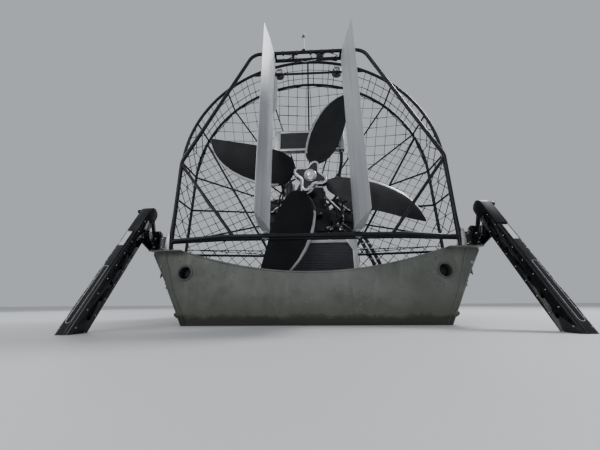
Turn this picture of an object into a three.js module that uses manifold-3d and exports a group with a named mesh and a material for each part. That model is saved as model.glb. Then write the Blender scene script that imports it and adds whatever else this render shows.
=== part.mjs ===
// Airboat: flat-bottomed aluminium hull, caged pusher propeller, twin air rudders, two folding anchors.
// Millimetres. X to starboard, Y forward, Z up. Inside the boat group y = 0 is the transom's aft face
// and z = 0 is the underside of the flat bottom.
import * as THREE from 'three';
import { mergeVertices } from 'three/addons/utils/BufferGeometryUtils.js';
import Module from 'manifold-3d';

const wasm = await Module();
wasm.setup();

// Hull
const HULL_LENGTH = 5400;
const SHEET = 8;
const GAP = 0.3;
const TRANSOM_MID_TOP = 465;
const CORNER_TOP = 625;
const DIP_HALF = 970;
const HALF_BEAM = 1220;
const DECK_Z = 100;
const DECK_SHEET = 6;
const DECK_TOP = DECK_Z + DECK_SHEET;
const DECK_END_Y = 4350;
const DECK_HALF = 890;
const TOP_HALF = 1115;
const SIDE_TOP = 610;
const RAIL_SPACE = 35;
const DRAIN_X = 955;
const DRAIN_Z = 468;
const CAP_THICK = 15;
const DRAIN_FLANGE_R = 60;
const DRAIN_SLEEVE_R = 49;
const DRAIN_BORE_R = 44;
const CORNER_PLATE_TOP = 635;

// Cage and rudder frame
const HOOP_R = 14;
const FRAME_R = 16;
const FRAME_Y = -20;
const SECOND_BAR_Y = 60;
const FRAME_FOOT_X = 1085;
const FRAME_SHOULDER_X = 1105;
const FRAME_SHOULDER_Z = 1430;
const FRAME_TOP_X = 530;
const FRAME_TOP_Z = 2640;
const CROSSBAR_Z = 740;
const CROSSBAR_END_Z = 710;
const CROSSBAR_BEND_X = 700;
const BRACE_FOOT_X = 605;
const STAY_R = 11;
const STAY_Z = 690;
const AFT_HOOP_Y = 150;
const AFT_HOOP_RADIUS = 1200;
const FRONT_HOOP_Y = 430;
const FRONT_HOOP_RADIUS = 1196;
const HOOP_CENTRE_Z = 1515;
const INNER_RING_Y = 900;
const INNER_RING_RADIUS = 380;
const SPOKE_R = 9;
const WIRE_R = 4;
const CONE_SLOPE = Math.atan2(INNER_RING_Y - FRONT_HOOP_Y, FRONT_HOOP_RADIUS - INNER_RING_RADIUS);
const SPOKE_STEP = 22;
const SPOKE_ANGLES = [-125, -108, -90, -68, -45, -SPOKE_STEP, 0, SPOKE_STEP, 45, 68, 90, 108, 125];
const WIRE_RADII = [520, 720, 920, 1100];
const BRACE_ANGLE = 70;
const LAMP_BAR_Z = 2560;
const LAMP_LIFT = 70;
const LAMP_X = 310;

// Propeller
const PROP_Y = 270;
const PROP_Z = 1390;
const PROP_RADIUS = 1110;
const FIRST_BLADE_ANGLE = 68.9;
const HUB_HALF = 45;
const HUB_WAIST = 99;
const HUB_LOBE = 34;
const SHANK_R = 26;

// Rudders
const RUDDER_X = 360;
const RUDDER_PIVOT_Y = 20;
const RUDDER_NOSE = 80;
const RUDDER_CHORD = 520;
const RUDDER_THICK = 62;
const RUDDER_BOTTOM = 790;
const RUDDER_TOP = 2590;
const RUDDER_RAKE = 120;
const RUDDER_PIN_R = 12;
const RUDDER_PIN_HOLE = 12.8;
const HORN_REACH = 120;
const HORN_Z = 772;
const HORN_THICK = 8;

// Folding anchors: shoulder pin, elbow pin and the tie link's two pins, as y and z
const SHOULDER = [30, 735];
const ELBOW = [-60, 920];
const TIE_FOOT = [31.4, 779.4];
const TIE_HEAD = [-96, 932.1];
const POLE_LENGTH = 1000;
const POLE_HALF = 48;
const POLE_SLOPE = 26.6;

// Engine
const ENGINE_AFT_Y = 950;
const ENGINE_FORE_Y = 1560;
const STAND_RAIL_Z = 860;
const GEARBOX_NOSE_Y = 440;
const LOW_RADIATOR_HALF = 440;
const LOW_RADIATOR_AFT = 505;
const LOW_RADIATOR_FORE = 565;
const VALLEY_Z = 1235;
const HEADER_X = 415.64;
const HEADER_Z = 1324.68;

const material = (color, roughness, metalness) => new THREE.MeshStandardMaterial({
  color, roughness, metalness,
});
const HULL_METAL = material(0x9a9c94, 0.5, 0.8);
const CAGE_PAINT = material(0x15181e, 0.4, 0.5);
const RUDDER_METAL = material(0xc9cccf, 0.35, 0.85);
const BLADE_BLACK = material(0x14151a, 0.4, 0.1);
const POLISHED = material(0xd5d8da, 0.15, 1);
const ENGINE_BLACK = material(0x1c1c1e, 0.5, 0.4);
const ENGINE_CAST = material(0x77797b, 0.5, 0.8);
const EXHAUST_STEEL = material(0x6f655c, 0.4, 0.9);
const FIN_BLACK = material(0x202226, 0.6, 0.5);
const ANCHOR_BLACK = material(0x0b0b0d, 0.15, 0.4);
const VINYL = material(0x2a2b2e, 0.6, 0);
const PLASTIC = material(0x18191b, 0.5, 0);
const LENS = material(0xe6e8ea, 0.2, 0);

const boat = new THREE.Group();
boat.position.y = -HULL_LENGTH / 2;

const DEG = Math.PI / 180;
const v3 = (x, y, z) => new THREE.Vector3(x, y, z);
const SIDES = [['left', -1], ['right', 1]];

// A closed geometry as a solid, turned right side out
function solid(geometry) {
  const bare = geometry.index ? geometry.toNonIndexed() : geometry.clone();
  bare.deleteAttribute('normal');
  bare.deleteAttribute('uv');
  const merged = mergeVertices(bare, 1e-4);
  const vertProperties = new Float32Array(merged.attributes.position.array);
  const triVerts = new Uint32Array(merged.index.array);
  let volume = 0;
  const corner = [v3(), v3(), v3()];
  for (let i = 0; i < triVerts.length; i += 3) {
    corner.forEach((c, k) => c.fromArray(vertProperties, 3 * triVerts[i + k]));
    volume += corner[0].dot(corner[1].clone().cross(corner[2]));
  }
  if (volume < 0) {
    for (let i = 0; i < triVerts.length; i += 3) {
      [triVerts[i + 1], triVerts[i + 2]] = [triVerts[i + 2], triVerts[i + 1]];
    }
  }
  return new wasm.Manifold(new wasm.Mesh({ numProp: 3, vertProperties, triVerts }));
}

const join = (...solids) => solids.flat().reduce((a, b) => a.add(b));
const cut = (body, ...tools) => tools.flat().reduce((a, b) => a.subtract(b), body);

function addPart(name, shape, look, group = boat) {
  const mesh = shape.getMesh();
  const geometry = new THREE.BufferGeometry();
  geometry.setAttribute('position', new THREE.BufferAttribute(mesh.vertProperties, 3));
  geometry.setIndex(new THREE.BufferAttribute(mesh.triVerts, 1));
  geometry.computeVertexNormals();
  const part = new THREE.Mesh(geometry, look);
  part.name = name;
  group.add(part);
}

// A group whose own axes are the boat's, with its origin at a pivot
function pivotGroup(x, y, z) {
  const group = new THREE.Group();
  group.position.set(x, y, z);
  boat.add(group);
  return group;
}

function box(x0, x1, y0, y1, z0, z1) {
  const geometry = new THREE.BoxGeometry(Math.abs(x1 - x0), Math.abs(y1 - y0), Math.abs(z1 - z0));
  geometry.translate((x0 + x1) / 2, (y0 + y1) / 2, (z0 + z1) / 2);
  return solid(geometry);
}

// Outlines of [a, b] points pushed along one axis
function extrude(outline, depth) {
  const shape = new THREE.Shape(outline.map(([a, b]) => new THREE.Vector2(a, b)));
  return new THREE.ExtrudeGeometry(shape, { depth, bevelEnabled: false });
}

function alongZ(outlineXY, z0, z1) {
  return solid(extrude(outlineXY, z1 - z0).translate(0, 0, z0));
}

function alongY(outlineXZ, y0, y1) {
  const turn = new THREE.Matrix4().makeBasis(v3(1, 0, 0), v3(0, 0, 1), v3(0, -1, 0));
  return solid(extrude(outlineXZ, y1 - y0).applyMatrix4(turn).translate(0, y1, 0));
}

function alongX(outlineYZ, x0, x1) {
  const turn = new THREE.Matrix4().makeBasis(v3(0, 1, 0), v3(0, 0, 1), v3(1, 0, 0));
  const low = Math.min(x0, x1);
  return solid(extrude(outlineYZ, Math.abs(x1 - x0)).applyMatrix4(turn).translate(low, 0, 0));
}

// A round bar between two points
function rod(a, b, radius, sides = 8) {
  const geometry = new THREE.CylinderGeometry(radius, radius, a.distanceTo(b), sides);
  const direction = b.clone().sub(a).normalize();
  geometry.applyQuaternion(new THREE.Quaternion().setFromUnitVectors(v3(0, 1, 0), direction));
  geometry.translate((a.x + b.x) / 2, (a.y + b.y) / 2, (a.z + b.z) / 2);
  return solid(geometry);
}

const pinX = (x0, x1, [y, z], radius, sides = 12) => rod(v3(x0, y, z), v3(x1, y, z), radius, sides);

// Rings of points, skinned from one to the next, with flat ends or closed on themselves
function loft(rings, capOutline, closed = false) {
  const count = rings[0].length;
  const positions = rings.flat().flatMap((p) => [p.x, p.y, p.z]);
  const index = [];
  const spans = closed ? rings.length : rings.length - 1;
  for (let i = 0; i < spans; i += 1) {
    const next = (i + 1) % rings.length;
    for (let k = 0; k < count; k += 1) {
      const m = (k + 1) % count;
      index.push(i * count + k, i * count + m, next * count + m);
      index.push(i * count + k, next * count + m, next * count + k);
    }
  }
  if (!closed) {
    const last = (rings.length - 1) * count;
    const outline = capOutline && capOutline.map(([a, b]) => new THREE.Vector2(a, b));
    const cap = outline
      ? THREE.ShapeUtils.triangulateShape(outline, [])
      : Array.from({ length: count - 2 }, (unused, k) => [0, k + 1, k + 2]);
    const signed = outline ? Math.sign(THREE.ShapeUtils.area(outline)) : 1;
    cap.forEach((t) => {
      const [a, b, c] = signed > 0 ? t : [t[0], t[2], t[1]];
      index.push(a, c, b);
      index.push(last + a, last + b, last + c);
    });
  }
  const geometry = new THREE.BufferGeometry();
  geometry.setAttribute('position', new THREE.Float32BufferAttribute(positions, 3));
  geometry.setIndex(index);
  return solid(geometry);
}

// A round tube along a line of points, mitred at each
function tube(points, radius, sides = 8, closed = false) {
  const count = points.length;
  const tangents = points.map((p, i) => {
    const before = closed ? points[(i + count - 1) % count] : points[Math.max(i - 1, 0)];
    const after = closed ? points[(i + 1) % count] : points[Math.min(i + 1, count - 1)];
    return after.clone().sub(p).normalize().add(p.clone().sub(before).normalize()).normalize();
  });
  const seed = Math.abs(tangents[0].y) < 0.9 ? v3(0, 1, 0) : v3(1, 0, 0);
  let normal = seed.sub(tangents[0].clone().multiplyScalar(seed.dot(tangents[0]))).normalize();
  const rings = points.map((p, i) => {
    normal = normal.sub(tangents[i].clone().multiplyScalar(normal.dot(tangents[i]))).normalize();
    const side = tangents[i].clone().cross(normal);
    return Array.from({ length: sides }, (unused, k) => {
      const angle = ((k + 0.5) / sides) * 2 * Math.PI;
      return p.clone()
        .addScaledVector(normal, radius * Math.cos(angle))
        .addScaledVector(side, radius * Math.sin(angle));
    });
  });
  return loft(rings, null, closed);
}

// Both ends of a rounded link in the y and z plane
function linkOutline([y0, z0], [y1, z1], radius, steps = 6) {
  const along = Math.atan2(z1 - z0, y1 - y0);
  const half = (y, z, from) => Array.from({ length: steps + 1 }, (unused, k) => {
    const angle = from + (Math.PI * k) / steps;
    return [y + radius * Math.cos(angle), z + radius * Math.sin(angle)];
  });
  return [...half(y1, z1, along - Math.PI / 2), ...half(y0, z0, along + Math.PI / 2)];
}

const circle = (radius, sides) => Array.from({ length: sides }, (unused, k) => {
  const angle = ((k + 0.5) / sides) * 2 * Math.PI;
  return [radius * Math.cos(angle), radius * Math.sin(angle)];
});

// Columns: y, half-widths at the bottom, knuckle and top, then heights of bottom, knuckle and top
const HULL_STATIONS = [
  [SHEET + GAP, 880, 1075, TOP_HALF, 0, 365, SIDE_TOP],
  [3900, 880, 1075, TOP_HALF, 0, 365, SIDE_TOP],
  [4400, 872, 1062, 1105, 45, 375, 620],
  [4900, 845, 1020, 1072, 185, 425, 640],
  [HULL_LENGTH, 790, 950, 1005, 455, 560, 670],
];

function hullBottom() {
  const rings = HULL_STATIONS.map(([y, half, , , low]) => [
    v3(-half, y, low), v3(half, y, low), v3(half, y, low + SHEET), v3(-half, y, low + SHEET),
  ]);
  const stringer = { width: 50, from: 60, to: 3850, places: [-640, -320, 0, 320, 640] };
  const ribs = stringer.places.map((x) => box(
    x - stringer.width / 2, x + stringer.width / 2, stringer.from, stringer.to, SHEET / 2, DECK_Z,
  ));
  addPart('hull_bottom', join(loft(rings), ribs), HULL_METAL);
}

// Side plate with a knuckle and a half-round rubbing rail pressed along it
function hullSide(name, side) {
  const rail = 16;
  const section = ([, bottom, knuckle, top, low, mid, high]) => [
    [bottom, low + SHEET + GAP],
    [knuckle - 8, mid - rail],
    [knuckle + rail, mid - rail / 2],
    [knuckle + rail, mid + rail / 2],
    [knuckle + 2, mid + rail],
    [top, high],
    [top - SHEET, high],
    [knuckle - SHEET, mid],
    [bottom - SHEET, low + SHEET + GAP],
  ];
  const rings = HULL_STATIONS.map((row) => section(row).map(([x, z]) => v3(side * x, row[0], z)));
  addPart(name, loft(rings, section(HULL_STATIONS[0])), HULL_METAL);
}

// Cap along the top of a side, wider than the side plate and flat enough to step on
function gunwaleCap(name, side) {
  const from = 300 + GAP;
  const inner = 30;
  const outer = HALF_BEAM - TOP_HALF;
  const further = HULL_STATIONS.slice(1).map((row) => [row[0], row[3], row[6]]);
  const rows = [[from, TOP_HALF, SIDE_TOP], ...further];
  const rings = rows.map(([y, top, z]) => [
    v3(side * (top - inner), y, z + GAP),
    v3(side * (top + outer), y, z + GAP),
    v3(side * (top + outer), y, z + CAP_THICK),
    v3(side * (top - inner), y, z + CAP_THICK),
  ]);
  addPart(name, loft(rings), HULL_METAL);
}

// Transom with the dished top edge, the outboard corner wings and the two drain bores
function transom() {
  const steps = 12;
  const wing = CORNER_TOP - 12;
  const right = [[880, 0], [1075, 365], [1087, 395], [HALF_BEAM, wing], [HALF_BEAM, CORNER_TOP]];
  const dip = Array.from({ length: 2 * steps + 1 }, (unused, k) => {
    const x = DIP_HALF * (1 - k / steps);
    return [x, TRANSOM_MID_TOP + (CORNER_TOP - TRANSOM_MID_TOP) * (x / DIP_HALF) ** 2];
  });
  const left = right.map(([x, z]) => [-x, z]).reverse();
  const lip = dip.map(([x, z]) => v3(x, SHEET, z - 4));
  const bores = [-DRAIN_X, DRAIN_X].map((x) => (
    rod(v3(x, -20, DRAIN_Z), v3(x, 30, DRAIN_Z), DRAIN_SLEEVE_R + 0.8, 20)
  ));
  const plate = join(alongY([...right, ...dip, ...left], 0, SHEET), tube(lip, 7, 6));
  addPart('transom', cut(plate, bores), HULL_METAL);
}

function drainFitting(name, x) {
  const flange = rod(v3(x, -6, DRAIN_Z), v3(x, 0, DRAIN_Z), DRAIN_FLANGE_R, 20);
  const sleeve = rod(v3(x, -6, DRAIN_Z), v3(x, 60, DRAIN_Z), DRAIN_SLEEVE_R, 20);
  const bore = rod(v3(x, -20, DRAIN_Z), v3(x, 80, DRAIN_Z), DRAIN_BORE_R, 20);
  addPart(name, cut(join(flange, sleeve), bore), PLASTIC);
}

// Flat plate over each stern corner, which carries the rudder frame, the aft hoop and an anchor
function cornerPlate(name, side) {
  const plate = box(side * 985, side * HALF_BEAM, -60, 300, CORNER_TOP, CORNER_PLATE_TOP);
  const web = [[SHEET + GAP, CORNER_TOP], [230, CORNER_TOP], [SHEET + GAP, 430]];
  const gusset = alongX(web, side * 1140, side * (1140 + SHEET));
  const curb = box(side * 1085, side * 1107, SHEET + GAP, 300, SIDE_TOP + GAP, CORNER_TOP + 2);
  addPart(name, join(plate, gusset, curb), HULL_METAL);
}

function bow() {
  const [, half, , , low] = HULL_STATIONS[4];
  const foot = half - 10;
  const outline = [
    [foot, low + SHEET + GAP], [935, 560], [980, 655], [-980, 655], [-935, 560],
    [-foot, low + SHEET + GAP],
  ];
  addPart('bow_plate', alongY(outline, HULL_LENGTH - SHEET, HULL_LENGTH), HULL_METAL);
  const rows = [[DECK_END_Y, 1070, 612], [4900, 1072 - RAIL_SPACE, 634], [HULL_LENGTH, 974, 664]];
  const rings = rows.map(([y, x, z]) => [v3(-x, y, z - 6), v3(x, y, z - 6), v3(x, y, z), v3(-x, y, z)]);
  const bulkhead = [[-850, 60], [850, 60], [1046, 372], [1068, 610], [-1068, 610], [-1046, 372]];
  const wall = alongY(bulkhead, DECK_END_Y, DECK_END_Y + SHEET);
  addPart('bow_deck', join(loft(rings), wall), HULL_METAL);
}

function deck() {
  addPart('deck_floor', box(-DECK_HALF, DECK_HALF, 60, DECK_END_Y - GAP, DECK_Z, DECK_TOP), HULL_METAL);
}

// Arch of a hoop: straight legs below the centre and a round top
function archPoints(y, radius, footZ, steps = 32) {
  const arc = Array.from({ length: steps + 1 }, (unused, k) => {
    const angle = (Math.PI * k) / steps;
    return v3(radius * Math.cos(angle), y, HOOP_CENTRE_Z + radius * Math.sin(angle));
  });
  return [v3(radius, y, footZ), ...arc, v3(-radius, y, footZ)];
}

const hoopPoint = (y, radius, degrees, z = HOOP_CENTRE_Z) => v3(
  radius * Math.sin(degrees * DEG),
  y,
  z + radius * Math.cos(degrees * DEG),
);

// On a leg below the arch the hoop's x stays at its radius
function onHoop(y, radius, degrees) {
  if (Math.abs(degrees) <= 90) return hoopPoint(y, radius, degrees);
  return v3(Math.sign(degrees) * radius, y, HOOP_CENTRE_Z + radius * Math.cos(degrees * DEG));
}

// A point on a spoke, by its share of the way from the inner ring to the hoop
function spokePoint(degrees, radius) {
  const rim = onHoop(FRONT_HOOP_Y, FRONT_HOOP_RADIUS, degrees);
  const inner = hoopPoint(INNER_RING_Y, INNER_RING_RADIUS, degrees, PROP_Z);
  return inner.lerp(rim, (radius - INNER_RING_RADIUS) / (FRONT_HOOP_RADIUS - INNER_RING_RADIUS));
}

// Frame that carries the rudders: straight-sided hoop, double top bar, double lower bar and braces
function rudderFrame() {
  const half = [
    v3(FRAME_FOOT_X, FRAME_Y, CORNER_PLATE_TOP),
    v3(FRAME_FOOT_X, FRAME_Y, CROSSBAR_END_Z - 10),
    v3(FRAME_SHOULDER_X, FRAME_Y, FRAME_SHOULDER_Z - 60),
    v3(FRAME_SHOULDER_X - 12, FRAME_Y, FRAME_SHOULDER_Z),
    v3(FRAME_SHOULDER_X - 40, FRAME_Y, FRAME_SHOULDER_Z + 75),
    v3(FRAME_TOP_X + 50, FRAME_Y, FRAME_TOP_Z - 70),
    v3(FRAME_TOP_X, FRAME_Y, FRAME_TOP_Z - 12),
    v3(FRAME_TOP_X - 55, FRAME_Y, FRAME_TOP_Z),
  ];
  const other = half.map((p) => v3(-p.x, p.y, p.z)).reverse();
  const parts = [tube([...half, ...other], FRAME_R, 8)];
  const topEnd = FRAME_TOP_X - 60;
  parts.push(rod(v3(-topEnd, SECOND_BAR_Y, FRAME_TOP_Z), v3(topEnd, SECOND_BAR_Y, FRAME_TOP_Z), FRAME_R));
  parts.push(tube([
    v3(-FRAME_FOOT_X, FRAME_Y, CROSSBAR_END_Z),
    v3(-CROSSBAR_BEND_X, FRAME_Y, CROSSBAR_Z),
    v3(CROSSBAR_BEND_X, FRAME_Y, CROSSBAR_Z),
    v3(FRAME_FOOT_X, FRAME_Y, CROSSBAR_END_Z),
  ], FRAME_R, 8));
  parts.push(tube([
    v3(-FRAME_FOOT_X, FRAME_Y, CROSSBAR_END_Z - 8),
    v3(-CROSSBAR_BEND_X, SECOND_BAR_Y, CROSSBAR_Z),
    v3(CROSSBAR_BEND_X, SECOND_BAR_Y, CROSSBAR_Z),
    v3(FRAME_FOOT_X, FRAME_Y, CROSSBAR_END_Z - 8),
  ], FRAME_R, 8));
  [-1, 1].forEach((side) => {
    [topEnd - 14, 150].forEach((x) => {
      parts.push(rod(v3(side * x, FRAME_Y, FRAME_TOP_Z), v3(side * x, SECOND_BAR_Y, FRAME_TOP_Z), 11));
    });
    const shoulder = v3(side * FRAME_SHOULDER_X, FRAME_Y, FRAME_SHOULDER_Z - 40);
    parts.push(rod(shoulder, v3(side * BRACE_FOOT_X, FRAME_Y, CROSSBAR_Z), 13));
    const x = side * RUDDER_X;
    const holes = [CROSSBAR_Z, FRAME_TOP_Z].map((z) => (
      rod(v3(x, RUDDER_PIVOT_Y, z - 60), v3(x, RUDDER_PIVOT_Y, z + 60), RUDDER_PIN_HOLE, 16)
    ));
    const bearing = (z0, z1) => box(x - 45, x + 45, FRAME_Y - 6, SECOND_BAR_Y + 6, z0, z1);
    parts.push(cut(bearing(CROSSBAR_Z + 8, CROSSBAR_Z + 20), holes));
    parts.push(cut(bearing(FRAME_TOP_Z - 16, FRAME_TOP_Z - 6), holes));
  });
  addPart('rudder_frame', join(parts), CAGE_PAINT);
}

function aftHoop() {
  const parts = [tube(archPoints(AFT_HOOP_Y, AFT_HOOP_RADIUS, CORNER_PLATE_TOP), HOOP_R, 8)];
  const barHalf = Math.sqrt(AFT_HOOP_RADIUS ** 2 - (LAMP_BAR_Z - HOOP_CENTRE_Z) ** 2);
  parts.push(rod(v3(-barHalf, AFT_HOOP_Y, LAMP_BAR_Z), v3(barHalf, AFT_HOOP_Y, LAMP_BAR_Z), 11));
  addPart('cage_aft_hoop', join(parts), CAGE_PAINT);
}

// Front hoop, its stays to the aft hoop and to the lower radiator, the spokes and the ring at the engine
function cageFront() {
  const parts = [tube(archPoints(FRONT_HOOP_Y, FRONT_HOOP_RADIUS, CORNER_TOP), HOOP_R, 8)];
  const ring = SPOKE_ANGLES.map((a) => hoopPoint(INNER_RING_Y, INNER_RING_RADIUS, a, PROP_Z));
  parts.push(tube(ring, 11, 8));
  SPOKE_ANGLES.forEach((angle, i) => {
    const rim = onHoop(FRONT_HOOP_Y, FRONT_HOOP_RADIUS, angle);
    const back = onHoop(AFT_HOOP_Y, AFT_HOOP_RADIUS, angle);
    const reach = back.clone().sub(rim).normalize();
    back.addScaledVector(reach, -(HOOP_R + GAP));
    if (Math.abs(angle) < 120) parts.push(rod(rim, back, SPOKE_R, 6));
    parts.push(rod(rim, ring[i], SPOKE_R, 6));
  });
  const side = LOW_RADIATOR_HALF + GAP;
  const cooler = box(-side, side, 400, 700, DECK_Z, 900);
  const tankMiddle = (LOW_RADIATOR_AFT + LOW_RADIATOR_FORE) / 2;
  [-1, 1].forEach((hand) => {
    const end = (z) => v3(hand * (LOW_RADIATOR_HALF - 12), tankMiddle, z);
    const leg = v3(hand * FRONT_HOOP_RADIUS, FRONT_HOOP_Y, STAY_Z);
    parts.push(cut(rod(leg, end(STAY_Z), STAY_R), cooler));
    const shoulder = hoopPoint(FRONT_HOOP_Y, FRONT_HOOP_RADIUS, hand * BRACE_ANGLE);
    parts.push(cut(rod(shoulder, end(STAY_Z + 55), STAY_R), cooler));
  });
  addPart('cage_front', join(parts), CAGE_PAINT);
}

// Wire screen lying on the forward side of the spokes
function cageScreen() {
  const lift = (SPOKE_R + WIRE_R + GAP) / Math.cos(CONE_SLOPE);
  const at = (angle, radius) => spokePoint(angle, radius).add(v3(0, lift, 0));
  const parts = WIRE_RADII.map((radius) => tube(SPOKE_ANGLES.map((a) => at(a, radius)), WIRE_R, 4));
  for (let i = 0; i + 1 < SPOKE_ANGLES.length; i += 1) {
    const [inner, outer] = [WIRE_RADII[0], WIRE_RADII[WIRE_RADII.length - 1]].map((radius) => (
      at(SPOKE_ANGLES[i], radius).lerp(at(SPOKE_ANGLES[i + 1], radius), 0.5)
    ));
    parts.push(rod(inner, outer, WIRE_R, 4));
  }
  addPart('cage_screen', join(parts), CAGE_PAINT);
}

// Rudder: a symmetrical airfoil round a vertical pin, with the steering horn on its foot
function rudder(name, side) {
  const group = pivotGroup(side * RUDDER_X, RUDDER_PIVOT_Y, 0);
  // Columns: share of the chord from the nose, share of the half thickness
  const foil = [[0, 0], [0.03, 0.5], [0.12, 0.88], [0.3, 1], [0.55, 0.8], [0.8, 0.42], [1, 0.06]];
  const face = foil.map(([c, t]) => [t * RUDDER_THICK / 2, RUDDER_NOSE - c * RUDDER_CHORD]);
  const outline = [...face, ...face.slice(1).map(([x, y]) => [-x, y]).reverse()];
  const tail = RUDDER_NOSE - RUDDER_CHORD - 10;
  const above = RUDDER_TOP + 10;
  const rake = alongX([
    [-30, RUDDER_TOP], [-30, above], [tail, above], [tail, RUDDER_TOP - RUDDER_RAKE],
  ], -RUDDER_THICK, RUDDER_THICK);
  const blade = cut(alongZ(outline, RUDDER_BOTTOM, RUDDER_TOP), rake);
  const pin = rod(v3(0, 0, CROSSBAR_Z - 20), v3(0, 0, RUDDER_BOTTOM + 5), RUDDER_PIN_R, 16);
  const topPin = rod(v3(0, 0, RUDDER_TOP - 5), v3(0, 0, FRAME_TOP_Z + 12), RUDDER_PIN_R, 16);
  const hornOutline = [[-18, -24], [18, -24], [12, HORN_REACH + 10], [-12, HORN_REACH + 10]];
  const horn = alongZ(hornOutline, HORN_Z, HORN_Z + HORN_THICK);
  const hornPin = rod(v3(0, HORN_REACH, HORN_Z), v3(0, HORN_REACH, HORN_Z + 30), 5, 12);
  const boss = rod(v3(0, 0, HORN_Z), v3(0, 0, RUDDER_BOTTOM + 2), 22, 12);
  addPart(name, join(blade, pin, topPin, boss, horn, hornPin), RUDDER_METAL, group);
}

function steeringLink() {
  const y = RUDDER_PIVOT_Y + HORN_REACH;
  const z = HORN_Z + HORN_THICK + 2;
  const eye = (x) => rod(v3(x, y, z), v3(x, y, z + 14), 13, 12);
  const hole = (x) => rod(v3(x, y, z - 5), v3(x, y, z + 30), 5.6, 12);
  const bar = rod(v3(-RUDDER_X, y, z + 7), v3(RUDDER_X, y, z + 7), 6, 6);
  const link = join(bar, eye(-RUDDER_X), eye(RUDDER_X));
  addPart('steering_link', cut(link, hole(-RUDDER_X), hole(RUDDER_X)), POLISHED);
}

// Propeller blade. Columns: radius, leading edge, trailing edge, pitch in degrees, thickness
const BLADE_SECTIONS = [
  [64, 26, -26, 30, 52],
  [168, 27, -26, 30, 46],
  [178, 66, -61, 29, 44],
  [196, 104, -95, 28, 41],
  [240, 148, -128, 27, 37],
  [320, 190, -150, 25, 32],
  [410, 212, -156, 23, 28],
  [515, 223, -154, 20, 24],
  [645, 220, -143, 18, 20],
  [770, 197, -127, 16, 17],
  [865, 164, -114, 14, 14],
  [938, 125, -104, 13, 12],
  [1001, 76, -96, 12, 10],
  [1053, 18, -88, 12, 7],
  [PROP_RADIUS - 5, -58, -80, 11, 4],
];

function propeller() {
  const group = pivotGroup(0, PROP_Y, PROP_Z);
  for (let blade = 0; blade < 4; blade += 1) {
    const angle = (FIRST_BLADE_ANGLE + 90 * blade) * DEG;
    const out = v3(Math.cos(angle), 0, Math.sin(angle));
    const forwardTurn = v3(-Math.sin(angle), 0, Math.cos(angle));
    const rings = BLADE_SECTIONS.map(([radius, lead, trail, pitch, thick]) => {
      const chord = forwardTurn.clone().multiplyScalar(Math.cos(pitch * DEG));
      chord.y += Math.sin(pitch * DEG);
      const face = out.clone().cross(chord);
      const middle = (lead + trail) / 2;
      const half = (lead - trail) / 2;
      return Array.from({ length: 10 }, (unused, k) => {
        const turn = (k / 10) * 2 * Math.PI;
        return out.clone().multiplyScalar(radius)
          .addScaledVector(chord, middle + half * Math.cos(turn))
          .addScaledVector(face, (thick / 2) * Math.sin(turn));
      });
    });
    addPart(`propeller_blade_${blade + 1}`, loft(rings), BLADE_BLACK, group);
  }
  const lobes = Array.from({ length: 40 }, (unused, k) => {
    const angle = (k / 40) * 2 * Math.PI;
    const radius = HUB_WAIST + HUB_LOBE * (1 + Math.cos(4 * (angle - FIRST_BLADE_ANGLE * DEG)));
    return [radius * Math.cos(angle), radius * Math.sin(angle)];
  });
  const face = SHANK_R + GAP;
  const parts = [
    alongY(lobes, -HUB_HALF, -face),
    alongY(lobes, face, HUB_HALF),
    alongY(circle(60, 20), -HUB_HALF, HUB_HALF),
    alongY(circle(34, 20), -HUB_HALF - 40, -HUB_HALF),
  ];
  addPart('propeller_hub', join(parts), POLISHED, group);
}

// Reduction gearbox: two shafts one over the other, with the propeller shaft at the top
function gearbox() {
  const bottom = PROP_Z - 260;
  const outline = [
    [-120, bottom], [120, bottom], [170, bottom + 90], [165, PROP_Z], [110, PROP_Z + 115],
    [-110, PROP_Z + 115], [-165, PROP_Z], [-170, bottom + 90],
  ];
  const shaft = rod(v3(0, PROP_Y + HUB_HALF + GAP, PROP_Z), v3(0, 600, PROP_Z), 38, 16);
  const nose = rod(v3(0, GEARBOX_NOSE_Y, PROP_Z), v3(0, 600, PROP_Z), 78, 20);
  const bellOutline = [[-190, 1000], [190, 1000], [230, 1180], [190, 1330], [-190, 1330], [-230, 1180]];
  const bell = alongY(bellOutline, 740, ENGINE_AFT_Y - GAP);
  addPart('reduction_gearbox', join(alongY(outline, 590, 745), shaft, nose, bell), ENGINE_CAST);
}

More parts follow.
